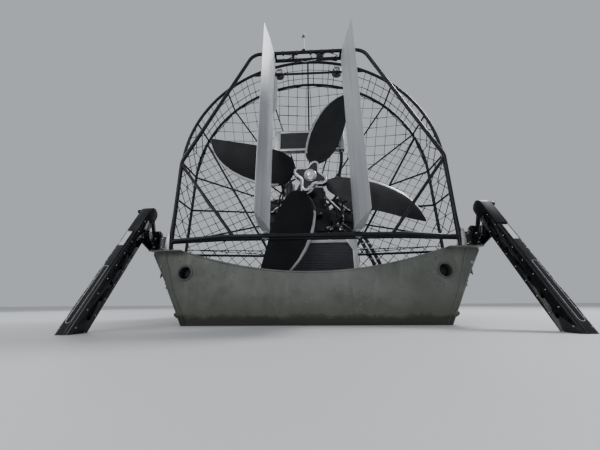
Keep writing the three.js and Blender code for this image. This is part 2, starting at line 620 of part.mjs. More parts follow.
// Vee engine block with its sump, and the two banks that carry the heads
function engine() {
  const outline = [
    [-130, 880], [130, 880], [150, 990], [200, 1010], [215, 1130], [335, 1250], [250, 1335],
    [110, VALLEY_Z], [-110, VALLEY_Z],
    [-250, 1335], [-335, 1250], [-215, 1130], [-200, 1010], [-150, 990],
  ];
  addPart('engine_block', alongY(outline, ENGINE_AFT_Y, ENGINE_FORE_Y), ENGINE_BLACK);
  SIDES.forEach(([name, side]) => {
    const lift = GAP * 1.5;
    const head = [
      [335, 1250 + lift], [250, 1335 + lift], [310, 1395], [330, 1440],
      [380, 1450], [440, 1390], [435, 1340], [395, 1310],
    ].map(([x, z]) => [side * (x + 0.4), z]);
    const heads = alongY(head, ENGINE_AFT_Y + 25, ENGINE_FORE_Y - 25);
    addPart(`cylinder_head_${name}`, heads, ENGINE_CAST);
  });
  const plenumHalf = [[105, VALLEY_Z + GAP], [150, 1360], [110, 1430]];
  const plenumOutline = [...plenumHalf, ...plenumHalf.map(([x, z]) => [-x, z]).reverse()];
  const plenum = alongY(plenumOutline, 1010, 1500);
  const middle = (ENGINE_AFT_Y + ENGINE_FORE_Y) / 2;
  const throat = rod(v3(0, middle, 1420), v3(0, middle, 1490), 75, 16);
  const cleaner = rod(v3(0, middle, 1480), v3(0, middle, 1570), 190, 24);
  addPart('intake_and_air_cleaner', join(plenum, throat, cleaner), ENGINE_BLACK);
  const pulleys = [[0, 1090, 85], [-190, 1330, 50], [190, 1330, 60]];
  const wheels = pulleys.map(([x, z, r]) => (
    rod(v3(x, ENGINE_FORE_Y + GAP, z), v3(x, ENGINE_FORE_Y + 60, z), r, 20)
  ));
  const beltLoop = [[-80, 1060], [80, 1060], [248, 1310], [215, 1385], [-215, 1375], [-238, 1315]];
  const belt = alongY(beltLoop, ENGINE_FORE_Y + 20, ENGINE_FORE_Y + 42);
  addPart('belt_drive', join(wheels, belt), ENGINE_CAST);
}

// Four header pipes into a collector that ends in a muffler lying beside the engine
function exhaust(name, side) {
  const parts = [];
  const collectorX = 500;
  const collectorZ = 1130;
  for (let k = 0; k < 4; k += 1) {
    const y = ENGINE_AFT_Y + 90 + 145 * k;
    parts.push(tube([
      v3(side * HEADER_X, y, HEADER_Z),
      v3(side * 442, y, 1289.5),
      v3(side * 480, y + 10, 1210),
      v3(side * collectorX, y + 20, collectorZ),
    ], 22, 8));
  }
  parts.push(rod(v3(side * collectorX, 1000, collectorZ), v3(side * collectorX, 1650, collectorZ), 38, 12));
  parts.push(rod(v3(side * 442, 1010, 1289), v3(side * 442, 1500, 1289), 12, 6));
  addPart(name, join(parts), EXHAUST_STEEL);
}

// Welded tube stand under the engine, on feet that stand on the deck
function engineStand() {
  const railX = 300;
  const footX = 420;
  const railY = [610, 1640];
  const legY = [820, 1560];
  const parts = [];
  [-1, 1].forEach((side) => {
    parts.push(rod(v3(side * railX, railY[0], STAND_RAIL_Z), v3(side * railX, railY[1], STAND_RAIL_Z), 20));
    legY.forEach((y, i) => {
      const foot = v3(side * footX, y + (i ? 60 : -20), DECK_TOP + 4);
      parts.push(rod(v3(side * railX, y, STAND_RAIL_Z), foot, 20));
      parts.push(box(side * footX - 60, side * footX + 60, foot.y - 60, foot.y + 60, DECK_TOP, DECK_TOP + 8));
    });
    const low = v3(side * (footX - 30), legY[0] - 15, 300);
    parts.push(rod(low, v3(side * railX, legY[1], STAND_RAIL_Z), 14));
  });
  [legY[0], legY[1], 1200].forEach((y) => {
    parts.push(rod(v3(-railX, y, STAND_RAIL_Z), v3(railX, y, STAND_RAIL_Z), 18));
  });
  parts.push(box(-140, 140, 1080, 1400, STAND_RAIL_Z + 8, 880));
  parts.push(box(-170, 170, 600, 740, STAND_RAIL_Z + 8, STAND_RAIL_Z + 20));
  parts.push(box(-60, 60, 620, 720, STAND_RAIL_Z + 15, PROP_Z - 260 - GAP));
  parts.push(rod(v3(-railX, 670, STAND_RAIL_Z), v3(railX, 670, STAND_RAIL_Z), 18));
  addPart('engine_stand', join(parts), CAGE_PAINT);
}

function radiators() {
  const low = {
    half: LOW_RADIATOR_HALF, y0: LOW_RADIATOR_AFT, y1: LOW_RADIATOR_FORE, z0: DECK_TOP, z1: 838, tank: 40,
  };
  const window = low.half - low.tank;
  const frame = cut(
    box(-low.half, low.half, low.y0, low.y1, low.z0, low.z1),
    box(-window, window, low.y0 - 10, low.y1 + 10, low.z0 + low.tank, low.z1 - low.tank),
  );
  const core = box(-low.half + 30, low.half - 30, low.y0 + 12, low.y1 - 12, low.z0 + 30, low.z1 - 30);
  const fins = Array.from({ length: 12 }, (unused, k) => {
    const z = low.z0 + low.tank + 25 + k * 52;
    return box(-low.half + 30, low.half - 30, low.y0 + 6, low.y1 - 6, z, z + 18);
  });
  addPart('radiator_lower', join(frame, core, fins), FIN_BLACK);
  const top = { half: 350, y0: 575, y1: 620, z0: 1930, z1: 2165 };
  const body = box(-top.half, top.half, top.y0, top.y1, top.z0, top.z1);
  const tanks = [-1, 1].map((side) => box(
    side * (top.half - 20), side * (top.half + 50), top.y0 - 12, top.y1 + 12, top.z0 - 10, top.z1 + 10,
  ));
  const bottomRail = box(-top.half - 50, top.half + 50, top.y0 - 12, top.y1 + 12, top.z0 - 26, top.z0 + 2);
  const ribs = Array.from({ length: 5 }, (unused, k) => {
    const z = top.z0 + 30 + k * 45;
    return box(-top.half + 5, top.half - 5, top.y0 - 6, top.y1 + 6, z, z + 16);
  });
  const hangers = [-1, 1].flatMap((side) => {
    const degrees = side * SPOKE_STEP;
    const ends = [FRONT_HOOP_RADIUS, INNER_RING_RADIUS].map((radius) => spokePoint(degrees, radius));
    const seat = rod(...ends, SPOKE_R + GAP, 6);
    return [600, 740].map((radius) => {
      const spoke = spokePoint(degrees, radius);
      const bar = rod(spoke, v3(spoke.x, top.y1 - 5, spoke.z), 7, 6);
      return cut(bar, seat);
    });
  });
  addPart('radiator_upper', join(body, tanks, bottomRail, ribs, hangers), FIN_BLACK);
}

// Tube tower ahead of the engine that carries the driver's seat, with a step for the feet
function seatTower() {
  const parts = [];
  const half = 330;
  [-1, 1].forEach((side) => {
    parts.push(rod(v3(side * half, 1760, DECK_TOP + 2), v3(side * half, 1860, 1340), 19));
    parts.push(rod(v3(side * half, 2420, DECK_TOP + 2), v3(side * half, 2300, 1340), 19));
    parts.push(rod(v3(side * half, 1860, 1340), v3(side * half, 2300, 1340), 19));
    parts.push(rod(v3(side * half, 1790, 460), v3(side * half, 2390, 460), 16));
    parts.push(rod(v3(side * half, 2393, 440), v3(side * half, 1868, 1300), 14));
    parts.push(rod(v3(side * half, 2330, 1040), v3(side * half, 2640, 960), 16));
    parts.push(rod(v3(side * half, 2640, 960), v3(side * half, 2378, 560), 14));
    parts.push(box(side * half - 50, side * half + 50, 1715, 1805, DECK_TOP, DECK_TOP + 8));
    parts.push(box(side * half - 50, side * half + 50, 2375, 2465, DECK_TOP, DECK_TOP + 8));
  });
  [[1860, 1340], [2300, 1340], [2330, 1040], [2640, 960], [1790, 460], [2390, 460]].forEach(([y, z]) => {
    parts.push(rod(v3(-half, y, z), v3(half, y, z), 14));
  });
  parts.push(box(-230, 230, 1850, 2310, 1348, 1362));
  parts.push(box(-half, half, 2420, 2650, 968, 978));
  addPart('driver_seat_tower', join(parts), CAGE_PAINT);
}

// Cushions with a softened outline, seen from the side
function cushion(name, x0, x1, outlineYZ) {
  addPart(name, alongX(outlineYZ, x0, x1), VINYL);
}

function seats() {
  const seatTop = 1362;
  const padZ = seatTop + 18 + GAP;
  const shell = alongX([
    [1845, seatTop + GAP], [2315, seatTop + GAP], [2315, seatTop + 18],
    [1870, seatTop + 18], [1800, 2010], [1780, 2010],
  ], -240, 240);
  addPart('driver_seat_shell', shell, PLASTIC);
  cushion('driver_seat_cushion', -235, 235, [
    [1905, padZ], [2310, padZ], [2335, seatTop + 60], [2320, seatTop + 110], [1905, seatTop + 100],
  ]);
  cushion('driver_seat_back', -230, 230, [
    [1900, seatTop + 45], [1902, seatTop + 110], [1885, 1700], [1830, 2060],
    [1785, 2060], [1785, 2010.4], [1800.4, 2010.4], [1867.4, seatTop + 45],
  ]);
  const bench = { half: 620, y0: 2760, y1: 3240, z: 480 };
  const base = [
    box(-bench.half, bench.half, bench.y0, bench.y1, bench.z - 12, bench.z),
    box(-bench.half, bench.half, bench.y0, bench.y0 + 10, bench.z - 20, 900),
  ];
  [-1, 0, 1].forEach((place) => {
    const x = place * (bench.half - 20);
    base.push(rod(v3(x, bench.y0 + 20, DECK_TOP), v3(x, bench.y0 + 20, bench.z), 16));
    base.push(rod(v3(x, bench.y1 - 20, DECK_TOP), v3(x, bench.y1 - 20, bench.z), 16));
    base.push(rod(v3(x, bench.y0 + 20, 240), v3(x, bench.y1 - 20, 240), 12));
  });
  addPart('passenger_bench_frame', join(base), HULL_METAL);
  cushion('passenger_bench_cushion', -bench.half, bench.half, [
    [bench.y0 + 70, bench.z + GAP], [bench.y1 - 5, bench.z + GAP], [bench.y1 + 10, bench.z + 45],
    [bench.y1 - 5, bench.z + 95], [bench.y0 + 70, bench.z + 85],
  ]);
  cushion('passenger_bench_back', -bench.half, bench.half, [
    [bench.y0 + 10 + GAP, bench.z + 20], [bench.y0 + 68, bench.z + 20], [bench.y0 + 68, bench.z + 350],
    [bench.y0 + 45, bench.z + 450], [bench.y0 + 10 + GAP, bench.z + 450],
  ]);
}

function controls() {
  const x = -390;
  const stick = [v3(x, 2180, 1300), v3(x, 2220, 1500), v3(x, 2240, 1740)];
  const rail = rod(v3(-330, 1860, 1340), v3(-330, 2300, 1340), 19 + GAP);
  const clamp = cut(box(-402, -335, 2150, 2210, 1318, 1362), rail);
  const parts = [tube(stick, 13, 8), clamp];
  parts.push(rod(v3(x, 2240, 1730), v3(x, 2252, 1880), 20));
  addPart('steering_stick', join(parts), POLISHED);
  const pedal = join(
    box(120, 230, 2560, 2650, 978, 986),
    alongX([[2600, 984], [2612, 984], [2660, 1120], [2648, 1124]], 140, 210),
  );
  addPart('throttle_pedal', pedal, POLISHED);
}

function tanks() {
  const outline = [
    [-280, 150], [-250, DECK_TOP], [250, DECK_TOP], [280, 150],
    [280, 500], [240, 540], [-240, 540], [-280, 500],
  ];
  const neck = rod(v3(150, 1980, 535), v3(150, 1980, 575), 40, 16);
  const strap = [1950, 2180].map((y) => box(-283, 283, y, y + 30, 200, 210));
  addPart('fuel_tank', join(alongY(outline, 1880, 2300), neck, strap), HULL_METAL);
  const battery = join(
    box(600, 860, 1200, 1560, DECK_TOP, 330),
    box(592, 868, 1192, 1568, 300, 338),
    box(700, 760, 1186, 1194, 290, 320),
  );
  addPart('battery_box', battery, PLASTIC);
}

function lampsAndRails() {
  SIDES.forEach(([name, side]) => {
    const x = side * LAMP_X;
    const y = AFT_HOOP_Y + 11 + GAP;
    const z = LAMP_BAR_Z + LAMP_LIFT;
    const body = rod(v3(x, y + 6, z), v3(x, y + 76, z), 52, 20);
    const foot = box(x - 15, x + 15, y, y + 12, LAMP_BAR_Z - 12, z - 30);
    addPart(`work_light_${name}`, join(body, foot), LENS);
  });
  const base = FRAME_TOP_Z + FRAME_R * Math.cos(Math.PI / 8) + GAP;
  const poleX = -40;
  const bar = (z0, z1, radius, sides) => rod(v3(poleX, FRAME_Y, z0), v3(poleX, FRAME_Y, z1), radius, sides);
  const pole = join(
    box(poleX - 22, poleX + 22, FRAME_Y - 14, FRAME_Y + 14, base, base + 14),
    bar(base, 2880, 9, 10),
    bar(2840, 2862, 16, 12),
    bar(2875, 2905, 18, 12),
  );
  addPart('anchor_light', pole, LENS);
  const rail = tube([
    v3(-700, 4700, 627), v3(-700, 4700, 800), v3(-680, 4700, 850), v3(-620, 4700, 870),
    v3(620, 4700, 870), v3(680, 4700, 850), v3(700, 4700, 800), v3(700, 4700, 627),
  ], 16, 8);
  addPart('bow_grab_rail', rail, POLISHED);
}

// Clevis bracket on the stern corner, with the shoulder bores and the tie link's stub pin
function anchorBracket(name, side) {
  const at = (x) => side * x;
  const z0 = CORNER_PLATE_TOP;
  const cheek = [[-20, 700], [95, z0 + 20], [95, 800], [50, 815], [5, 800], [-20, 760]];
  const parts = [
    box(at(1120), at(1218), -50, 120, z0, z0 + 12),
    box(at(1135), at(1222), -30, 105, z0, z0 + 110),
    box(at(1218), at(1320), 75, 105, z0 + 20, z0 + 105),
    alongX(cheek, at(1232), at(1242)),
    alongX(cheek, at(1310), at(1320)),
    pinX(at(1314), at(1341), TIE_FOOT, 6),
  ];
  addPart(name, cut(join(parts), pinX(at(1224), at(1330), SHOULDER, 10.8, 12)), ANCHOR_BLACK);
}

// Arm: two plates on a shoulder pin and an elbow pin
function anchorArm(name, side) {
  const at = (x) => side * x;
  const outline = linkOutline(SHOULDER, ELBOW, 20);
  const parts = [
    alongX(outline, at(1248), at(1257)),
    alongX(outline, at(1295), at(1304)),
    pinX(at(1228), at(1324), SHOULDER, 10, 12),
    pinX(at(1244), at(1308), ELBOW, 9, 12),
  ];
  addPart(name, join(parts), ANCHOR_BLACK);
}

function anchorTie(name, side) {
  const at = (x) => side * x;
  const eyes = [TIE_FOOT, TIE_HEAD].map((pin) => pinX(at(1325.5), at(1336.5), pin, 15));
  const bar = rod(v3(at(1331), ...TIE_FOOT), v3(at(1331), ...TIE_HEAD), 5.5, 8);
  const holes = [pinX(at(1310), at(1350), TIE_FOOT, 6.5), pinX(at(1310), at(1350), TIE_HEAD, 8.4)];
  addPart(name, cut(join(bar, eyes), holes), POLISHED);
}

// Pole: tongue on the elbow, hollow-looking channel with rows of holes, foot at its lower end
function anchorPole(name, side) {
  const at = (x) => side * x;
  const along = [-Math.sin(POLE_SLOPE * DEG), -Math.cos(POLE_SLOPE * DEG)];
  const across = [along[1], -along[0]];
  const point = (s, d) => [0, 1].map((axis) => ELBOW[axis] + s * along[axis] + d * across[axis]);
  const strip = (s0, s1, d) => [point(s0, -d), point(s1, -d), point(s1, d), point(s0, d)];
  const half = POLE_HALF;
  const footTop = POLE_LENGTH - 90;
  const floor = 12 - half;
  const groove = [point(100, floor), point(footTop, floor), point(footTop, 60), point(100, 60)];
  const channel = cut(
    alongX(strip(80, POLE_LENGTH - 60, half), at(1238), at(1314)),
    alongX(groove, at(1247), at(1305)),
  );
  const foot = alongX([
    point(footTop, -half), point(POLE_LENGTH - 10, -38), point(POLE_LENGTH, 0),
    point(POLE_LENGTH - 10, 38), point(footTop, half),
  ], at(1245), at(1307));
  const holes = Array.from({ length: 7 }, (unused, k) => (
    pinX(at(1230), at(1322), point(170 + 110 * k, -6), 13, 6)
  ));
  const tongue = alongX(linkOutline(ELBOW, point(110, 0), 18), at(1262), at(1290));
  const lug = alongX(linkOutline(ELBOW, TIE_HEAD, 13), at(1262), at(1290));
  const parts = [cut(channel, holes), foot, tongue, lug, pinX(at(1270), at(1341), TIE_HEAD, 6)];
  addPart(name, cut(join(parts), pinX(at(1240), at(1312), ELBOW, 9.8, 12)), ANCHOR_BLACK);
}

hullBottom();
SIDES.forEach(([name, side]) => {
  hullSide(`hull_side_${name}`, side);
  gunwaleCap(`gunwale_${name}`, side);
  cornerPlate(`stern_corner_plate_${name}`, side);
  drainFitting(`drain_fitting_${name}`, side * DRAIN_X);
});
transom();
bow();
deck();
rudderFrame();
aftHoop();
cageFront();
cageScreen();
SIDES.forEach(([name, side]) => rudder(`rudder_${name}`, side));
steeringLink();
propeller();
gearbox();
engine();
SIDES.forEach(([name, side]) => exhaust(`exhaust_${name}`, side));
engineStand();
radiators();
seatTower();
seats();
controls();
tanks();
lampsAndRails();
SIDES.forEach(([name, side]) => {
  anchorBracket(`anchor_bracket_${name}`, side);
  anchorArm(`anchor_arm_${name}`, side);
  anchorTie(`anchor_tie_${name}`, side);
  anchorPole(`anchor_pole_${name}`, side);
});

export default boat;
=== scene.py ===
"""Airboat, with the studio floor at its waterline.

Metres: X to starboard, Y forward, Z up from the hull's bottom.
"""
import math

import bmesh
import bpy
from mathutils import Matrix, Vector


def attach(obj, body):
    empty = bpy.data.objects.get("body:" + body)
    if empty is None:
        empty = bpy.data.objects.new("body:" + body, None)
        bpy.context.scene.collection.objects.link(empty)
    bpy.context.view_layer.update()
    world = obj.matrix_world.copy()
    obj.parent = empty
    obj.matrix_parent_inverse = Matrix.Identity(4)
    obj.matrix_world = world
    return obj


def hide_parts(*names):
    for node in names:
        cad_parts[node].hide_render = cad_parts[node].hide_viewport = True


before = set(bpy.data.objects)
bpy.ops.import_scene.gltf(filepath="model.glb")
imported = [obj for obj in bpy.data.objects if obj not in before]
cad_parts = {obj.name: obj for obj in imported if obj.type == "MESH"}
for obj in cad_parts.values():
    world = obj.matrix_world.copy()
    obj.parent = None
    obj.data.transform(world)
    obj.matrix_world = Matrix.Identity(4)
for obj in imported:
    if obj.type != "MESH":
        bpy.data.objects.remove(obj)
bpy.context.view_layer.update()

STERN = -2.70
WATERLINE = 0.10
X_AXIS, Y_AXIS, Z_AXIS = Vector((1, 0, 0)), Vector((0, 1, 0)), Vector((0, 0, 1))
SIDES = (("left", -1), ("right", 1))

# Hull
HULL_SHEET = 0.008
DIP_LOW, DIP_HIGH, DIP_HALF = 0.465, 0.625, 0.97
BOTTOM_HALF, KNUCKLE_HALF, KNUCKLE_Z = 0.880, 1.075, 0.365
UPPER_HALF, UPPER_RISE = 1.115, 0.229
HALF_BEAM = 1.22
DECK_TOP = 0.106
DRAIN_X, DRAIN_Z = 0.955, 0.468
CORNER_PLATE_TOP = 0.635
GUNWALE_TOP = 0.6248

# Cage and rudder frame
HOOP_CENTRE_Z = 1.515
HOOP_R, FRAME_R, SPOKE_R, RING_R = 0.014, 0.016, 0.009, 0.011
AFT_HOOP_Y, AFT_HOOP_RADIUS = STERN + 0.150, 1.200
FRONT_HOOP_Y, FRONT_HOOP_RADIUS = STERN + 0.430, 1.196
INNER_RING_Y, INNER_RING_RADIUS = STERN + 0.900, 0.380
BRACE_ANGLE = 70
SPOKE_ANGLES = (-125, -108, -90, -68, -45, -22, 0, 22, 45, 68, 90, 108, 125)
FRAME_Y, SECOND_BAR_Y = STERN - 0.020, STERN + 0.060
FRAME_FOOT_X, FRAME_TOP_Z = 1.085, 2.640
CROSSBAR_Z, CROSSBAR_END_Z, CROSSBAR_BEND_X = 0.740, 0.710, 0.700
STAY_Z = 0.690
LAMP_BAR_Z, LAMP_LIFT = 2.560, 0.070

# Propeller and rudders
PROP_CENTRE = Vector((0, STERN + 0.270, 1.390))
FIRST_BLADE_ANGLE = 68.9
RUDDER_X, RUDDER_PIVOT_Y = 0.360, STERN + 0.020
RUDDER_NOSE, RUDDER_CHORD, RUDDER_THICK = 0.080, 0.520, 0.062
RUDDER_BOTTOM, RUDDER_TOP, RUDDER_RAKE = 0.790, 2.590, 0.120
HORN_REACH, HORN_Z, HORN_THICK = 0.120, 0.772, 0.008

# Engine
CYLINDER_Y, CYLINDER_PITCH = 1.040, 0.145
AIR_CLEANER_Y = 1.255
BREATHER_X, BREATHER_Y = -0.245, 0.905

# Seat tower
TOWER_HALF = 0.330
TOWER_FEET_Y = (1.760, 2.420)

# Folding anchors: the arm's middle, the elbow's y and z, and the pole's lean
ARM_X = 1.276
ELBOW = (STERN - 0.060, 0.920)
POLE_SLOPE = math.radians(26.6)

# Corners nearer to each other than this are merged, in new meshes and in copies of CAD nodes
DOUBLE, CAD_DOUBLE = 0.00005, 0.0002


def at(x, y, z):
    """A point whose y is given ahead of the transom."""
    return Vector((x, STERN + y, z))


# Edit-mode helpers

def deselect():
    if bpy.context.mode != "OBJECT":
        bpy.ops.object.mode_set(mode="OBJECT")
    bpy.ops.object.select_all(action="DESELECT")


def pick(obj):
    deselect()
    obj.select_set(True)
    bpy.context.view_layer.objects.active = obj
    return obj


def opened(obj):
    """Edit mode on a piece, with all of it selected."""
    pick(obj)
    bpy.ops.object.mode_set(mode="EDIT")
    bpy.ops.mesh.select_all(action="SELECT")


def drawn(points, closed=False, filled=False):
    """Edit mode on a line of edges, extruded from point to point."""
    deselect()
    bpy.ops.mesh.primitive_plane_add(size=0.01, location=points[0])
    bpy.ops.object.mode_set(mode="EDIT")
    bpy.ops.mesh.select_mode(type="VERT")
    bpy.ops.mesh.merge(type="CENTER")
    for here, there in zip(points, points[1:]):
        step = Vector(there) - Vector(here)
        bpy.ops.mesh.extrude_region_move(TRANSFORM_OT_translate={"value": step})
    if filled:
        bpy.ops.mesh.select_all(action="SELECT")
        bpy.ops.mesh.edge_face_add()
    elif closed:
        mesh = bmesh.from_edit_mesh(bpy.context.object.data)
        for vertex in mesh.verts:
            vertex.select = len(vertex.link_edges) == 1
        mesh.select_flush_mode()
        bpy.ops.mesh.edge_face_add()


def applied():
    """Back to object mode, with the piece's place in its mesh."""
    if bpy.context.mode != "OBJECT":
        bpy.ops.object.mode_set(mode="OBJECT")
    bpy.ops.object.transform_apply(location=True, rotation=True, scale=True)
    return bpy.context.object


def outwards():
    bpy.ops.mesh.select_all(action="SELECT")
    bpy.ops.mesh.remove_doubles(threshold=DOUBLE)
    bpy.ops.mesh.normals_make_consistent(inside=False)


def rounded_edges(obj, width, segments=2, angle=30):
    pick(obj)
    bpy.ops.object.modifier_add(type="BEVEL")
    bevel = obj.modifiers[-1]
    bevel.width = width
    bevel.segments = segments
    bevel.limit_method = "ANGLE"
    bevel.angle_limit = math.radians(angle)
    bpy.ops.object.modifier_apply(modifier=bevel.name)
    return obj


def smoothed(obj, angle=40):
    pick(obj)
    bpy.ops.object.shade_smooth_by_angle(angle=math.radians(angle))
    return obj


def filleted(corners, radius, steps=6):
    """The line through the corners, with an arc at each inner one."""
    corners = [Vector(c) for c in corners]
    points = [corners[0]]
    for before, corner, after in zip(corners, corners[1:], corners[2:]):
        back, on = (before - corner), (after - corner)
        half = back.angle(on) / 2
        reach = min(radius / math.tan(half), 0.48 * min(back.length, on.length))
        arc_radius = reach * math.tan(half)
        middle = (back.normalized() + on.normalized()).normalized()
        centre = corner + middle * (arc_radius / math.sin(half))
        start = (corner + back.normalized() * reach - centre).normalized()
        end = (corner + on.normalized() * reach - centre).normalized()
        for k in range(steps + 1):
            points.append(centre + start.slerp(end, k / steps) * arc_radius)
    return points + [corners[-1]]


def tube(points, radius, closed=False, roundness=3):
    """A round tube along a line."""
    drawn(points, closed=closed)
    bpy.ops.object.mode_set(mode="OBJECT")
    bpy.ops.object.convert(target="CURVE")
    line = bpy.context.object.data
    line.bevel_depth = radius
    line.bevel_resolution = roundness
    line.use_fill_caps = not closed
    bpy.ops.object.convert(target="MESH")
    obj = applied()
    return smoothed(obj, 50)


def rod(a, b, radius, roundness=3):
    return tube([a, b], radius, roundness=roundness)


def slab(outline, push, bevel=0.0, segments=2):
    """A flat outline, filled and extruded."""
    drawn(outline, filled=True)
    bpy.ops.mesh.extrude_region_move(TRANSFORM_OT_translate={"value": push})
    outwards()
    obj = applied()
    if bevel:
        rounded_edges(obj, bevel, segments)
    return smoothed(obj)


def block(low, high, bevel=0.003, segments=2):
    deselect()
    low, high = Vector(low), Vector(high)
    size = Vector(abs(c) for c in high - low)
    bpy.ops.mesh.primitive_cube_add(size=1, location=(low + high) / 2, scale=size)
    opened(applied())
    if bevel:
        bpy.ops.mesh.bevel(offset=bevel, segments=segments, affect="EDGES")
    return smoothed(applied())


def turned(profile, centre, axis, steps=32):
    """(radius, along) points spun round an axis."""
    axis = Vector(axis).normalized()
    out = axis.orthogonal().normalized()
    drawn([Vector(centre) + out * r + axis * along for r, along in profile])
    bpy.ops.mesh.select_all(action="SELECT")
    bpy.ops.mesh.spin(steps=steps, angle=2 * math.pi, center=centre, axis=axis)
    outwards()
    return smoothed(applied(), 35)


def lofted(rings):
    """The first ring's face, extruded and laid on each next ring in turn."""
    drawn(rings[0], filled=True)
    obj = bpy.context.object
    for before, ring in zip(rings, rings[1:]):
        bpy.ops.mesh.extrude_region_move()
        mesh = bmesh.from_edit_mesh(obj.data)
        shift = obj.location
        for vertex in [v for v in mesh.verts if v.select]:
            place = vertex.co + shift
            nearest = min(range(len(before)), key=lambda k: (before[k] - place).length_squared)
            vertex.co = ring[nearest] - shift
        bmesh.update_edit_mesh(obj.data)
    outwards()
    return applied()


def heads(places, direction, radius, height, sides=8):
    """Screw or rivet heads in one mesh."""
    turn = Vector(direction).to_track_quat("Z", "Y").to_euler()
    deselect()
    for k, place in enumerate(places):
        bpy.ops.mesh.primitive_cone_add(
            vertices=sides, radius1=radius, radius2=radius * 0.7, depth=height,
            location=Vector(place) + Vector(direction).normalized() * height / 2, rotation=turn,
        )
        if k == 0:
            applied()
            bpy.ops.object.mode_set(mode="EDIT")
    return smoothed(applied(), 30)


def joined(objects):
    deselect()
    for obj in objects:
        obj.select_set(True)
    bpy.context.view_layer.objects.active = objects[0]
    bpy.ops.object.join()
    return bpy.context.object


def repeated(obj, count, step):
    """Equal copies of a piece in a row, in one mesh."""
    pick(obj)
    bpy.ops.object.modifier_add(type="ARRAY")
    row = obj.modifiers[-1]
    row.count = count
    row.use_relative_offset = False
    row.use_constant_offset = True
    row.constant_offset_displace = step
    bpy.ops.object.modifier_apply(modifier=row.name)
    return obj


def band(points, push, thickness, closed=False, offset=-1):
    """A strip of sheet along a line; the offset, -1 or 1, says to which side it is thick."""
    drawn(points, closed)
    bpy.ops.mesh.select_all(action="SELECT")
    bpy.ops.mesh.extrude_region_move(TRANSFORM_OT_translate={"value": push})
    outwards()
    strip = applied()
    bpy.ops.object.modifier_add(type="SOLIDIFY")
    sheet = strip.modifiers[-1]
    sheet.thickness = thickness
    sheet.offset = offset
    bpy.ops.object.modifier_apply(modifier=sheet.name)
    return strip


def rounded_band(points, push, thickness):
    """A strip with its edges rounded."""
    return rounded_edges(band(points, push, thickness), thickness / 3)


def shown(made, name, finish, stands_for=(), body="hull"):
    """Joins the meshes of a finished piece, names and dresses it and lets it ride on its body."""
    obj = joined(made) if isinstance(made, list) else made
    finishes = finish if isinstance(finish, (list, tuple)) else [finish]
    obj.name = obj.data.name = name
    places = [polygon.material_index for polygon in obj.data.polygons]
    obj.data.materials.clear()
    for one in finishes:
        obj.data.materials.append(one)
    for polygon, place in zip(obj.data.polygons, places):
        polygon.material_index = min(place, len(finishes) - 1)
    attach(obj, body)
    if stands_for:
        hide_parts(*stands_for)


def softened(node, width, segments=2):
    """A merged copy of a CAD node with its edges rounded."""
    obj = bpy.data.objects.new(node + "_dressed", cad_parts[node].data.copy())
    bpy.context.scene.collection.objects.link(obj)
    opened(obj)
    bpy.ops.mesh.remove_doubles(threshold=CAD_DOUBLE)
    bpy.ops.mesh.dissolve_limited(angle_limit=math.radians(1))
    bpy.ops.object.mode_set(mode="OBJECT")
    rounded_edges(obj, width, segments, 35)
    return smoothed(obj)


def rounded_node(node, name, finish, width, segments=2, body="hull"):
    shown(softened(node, width, segments), name, finish, [node], body)


# Finishes

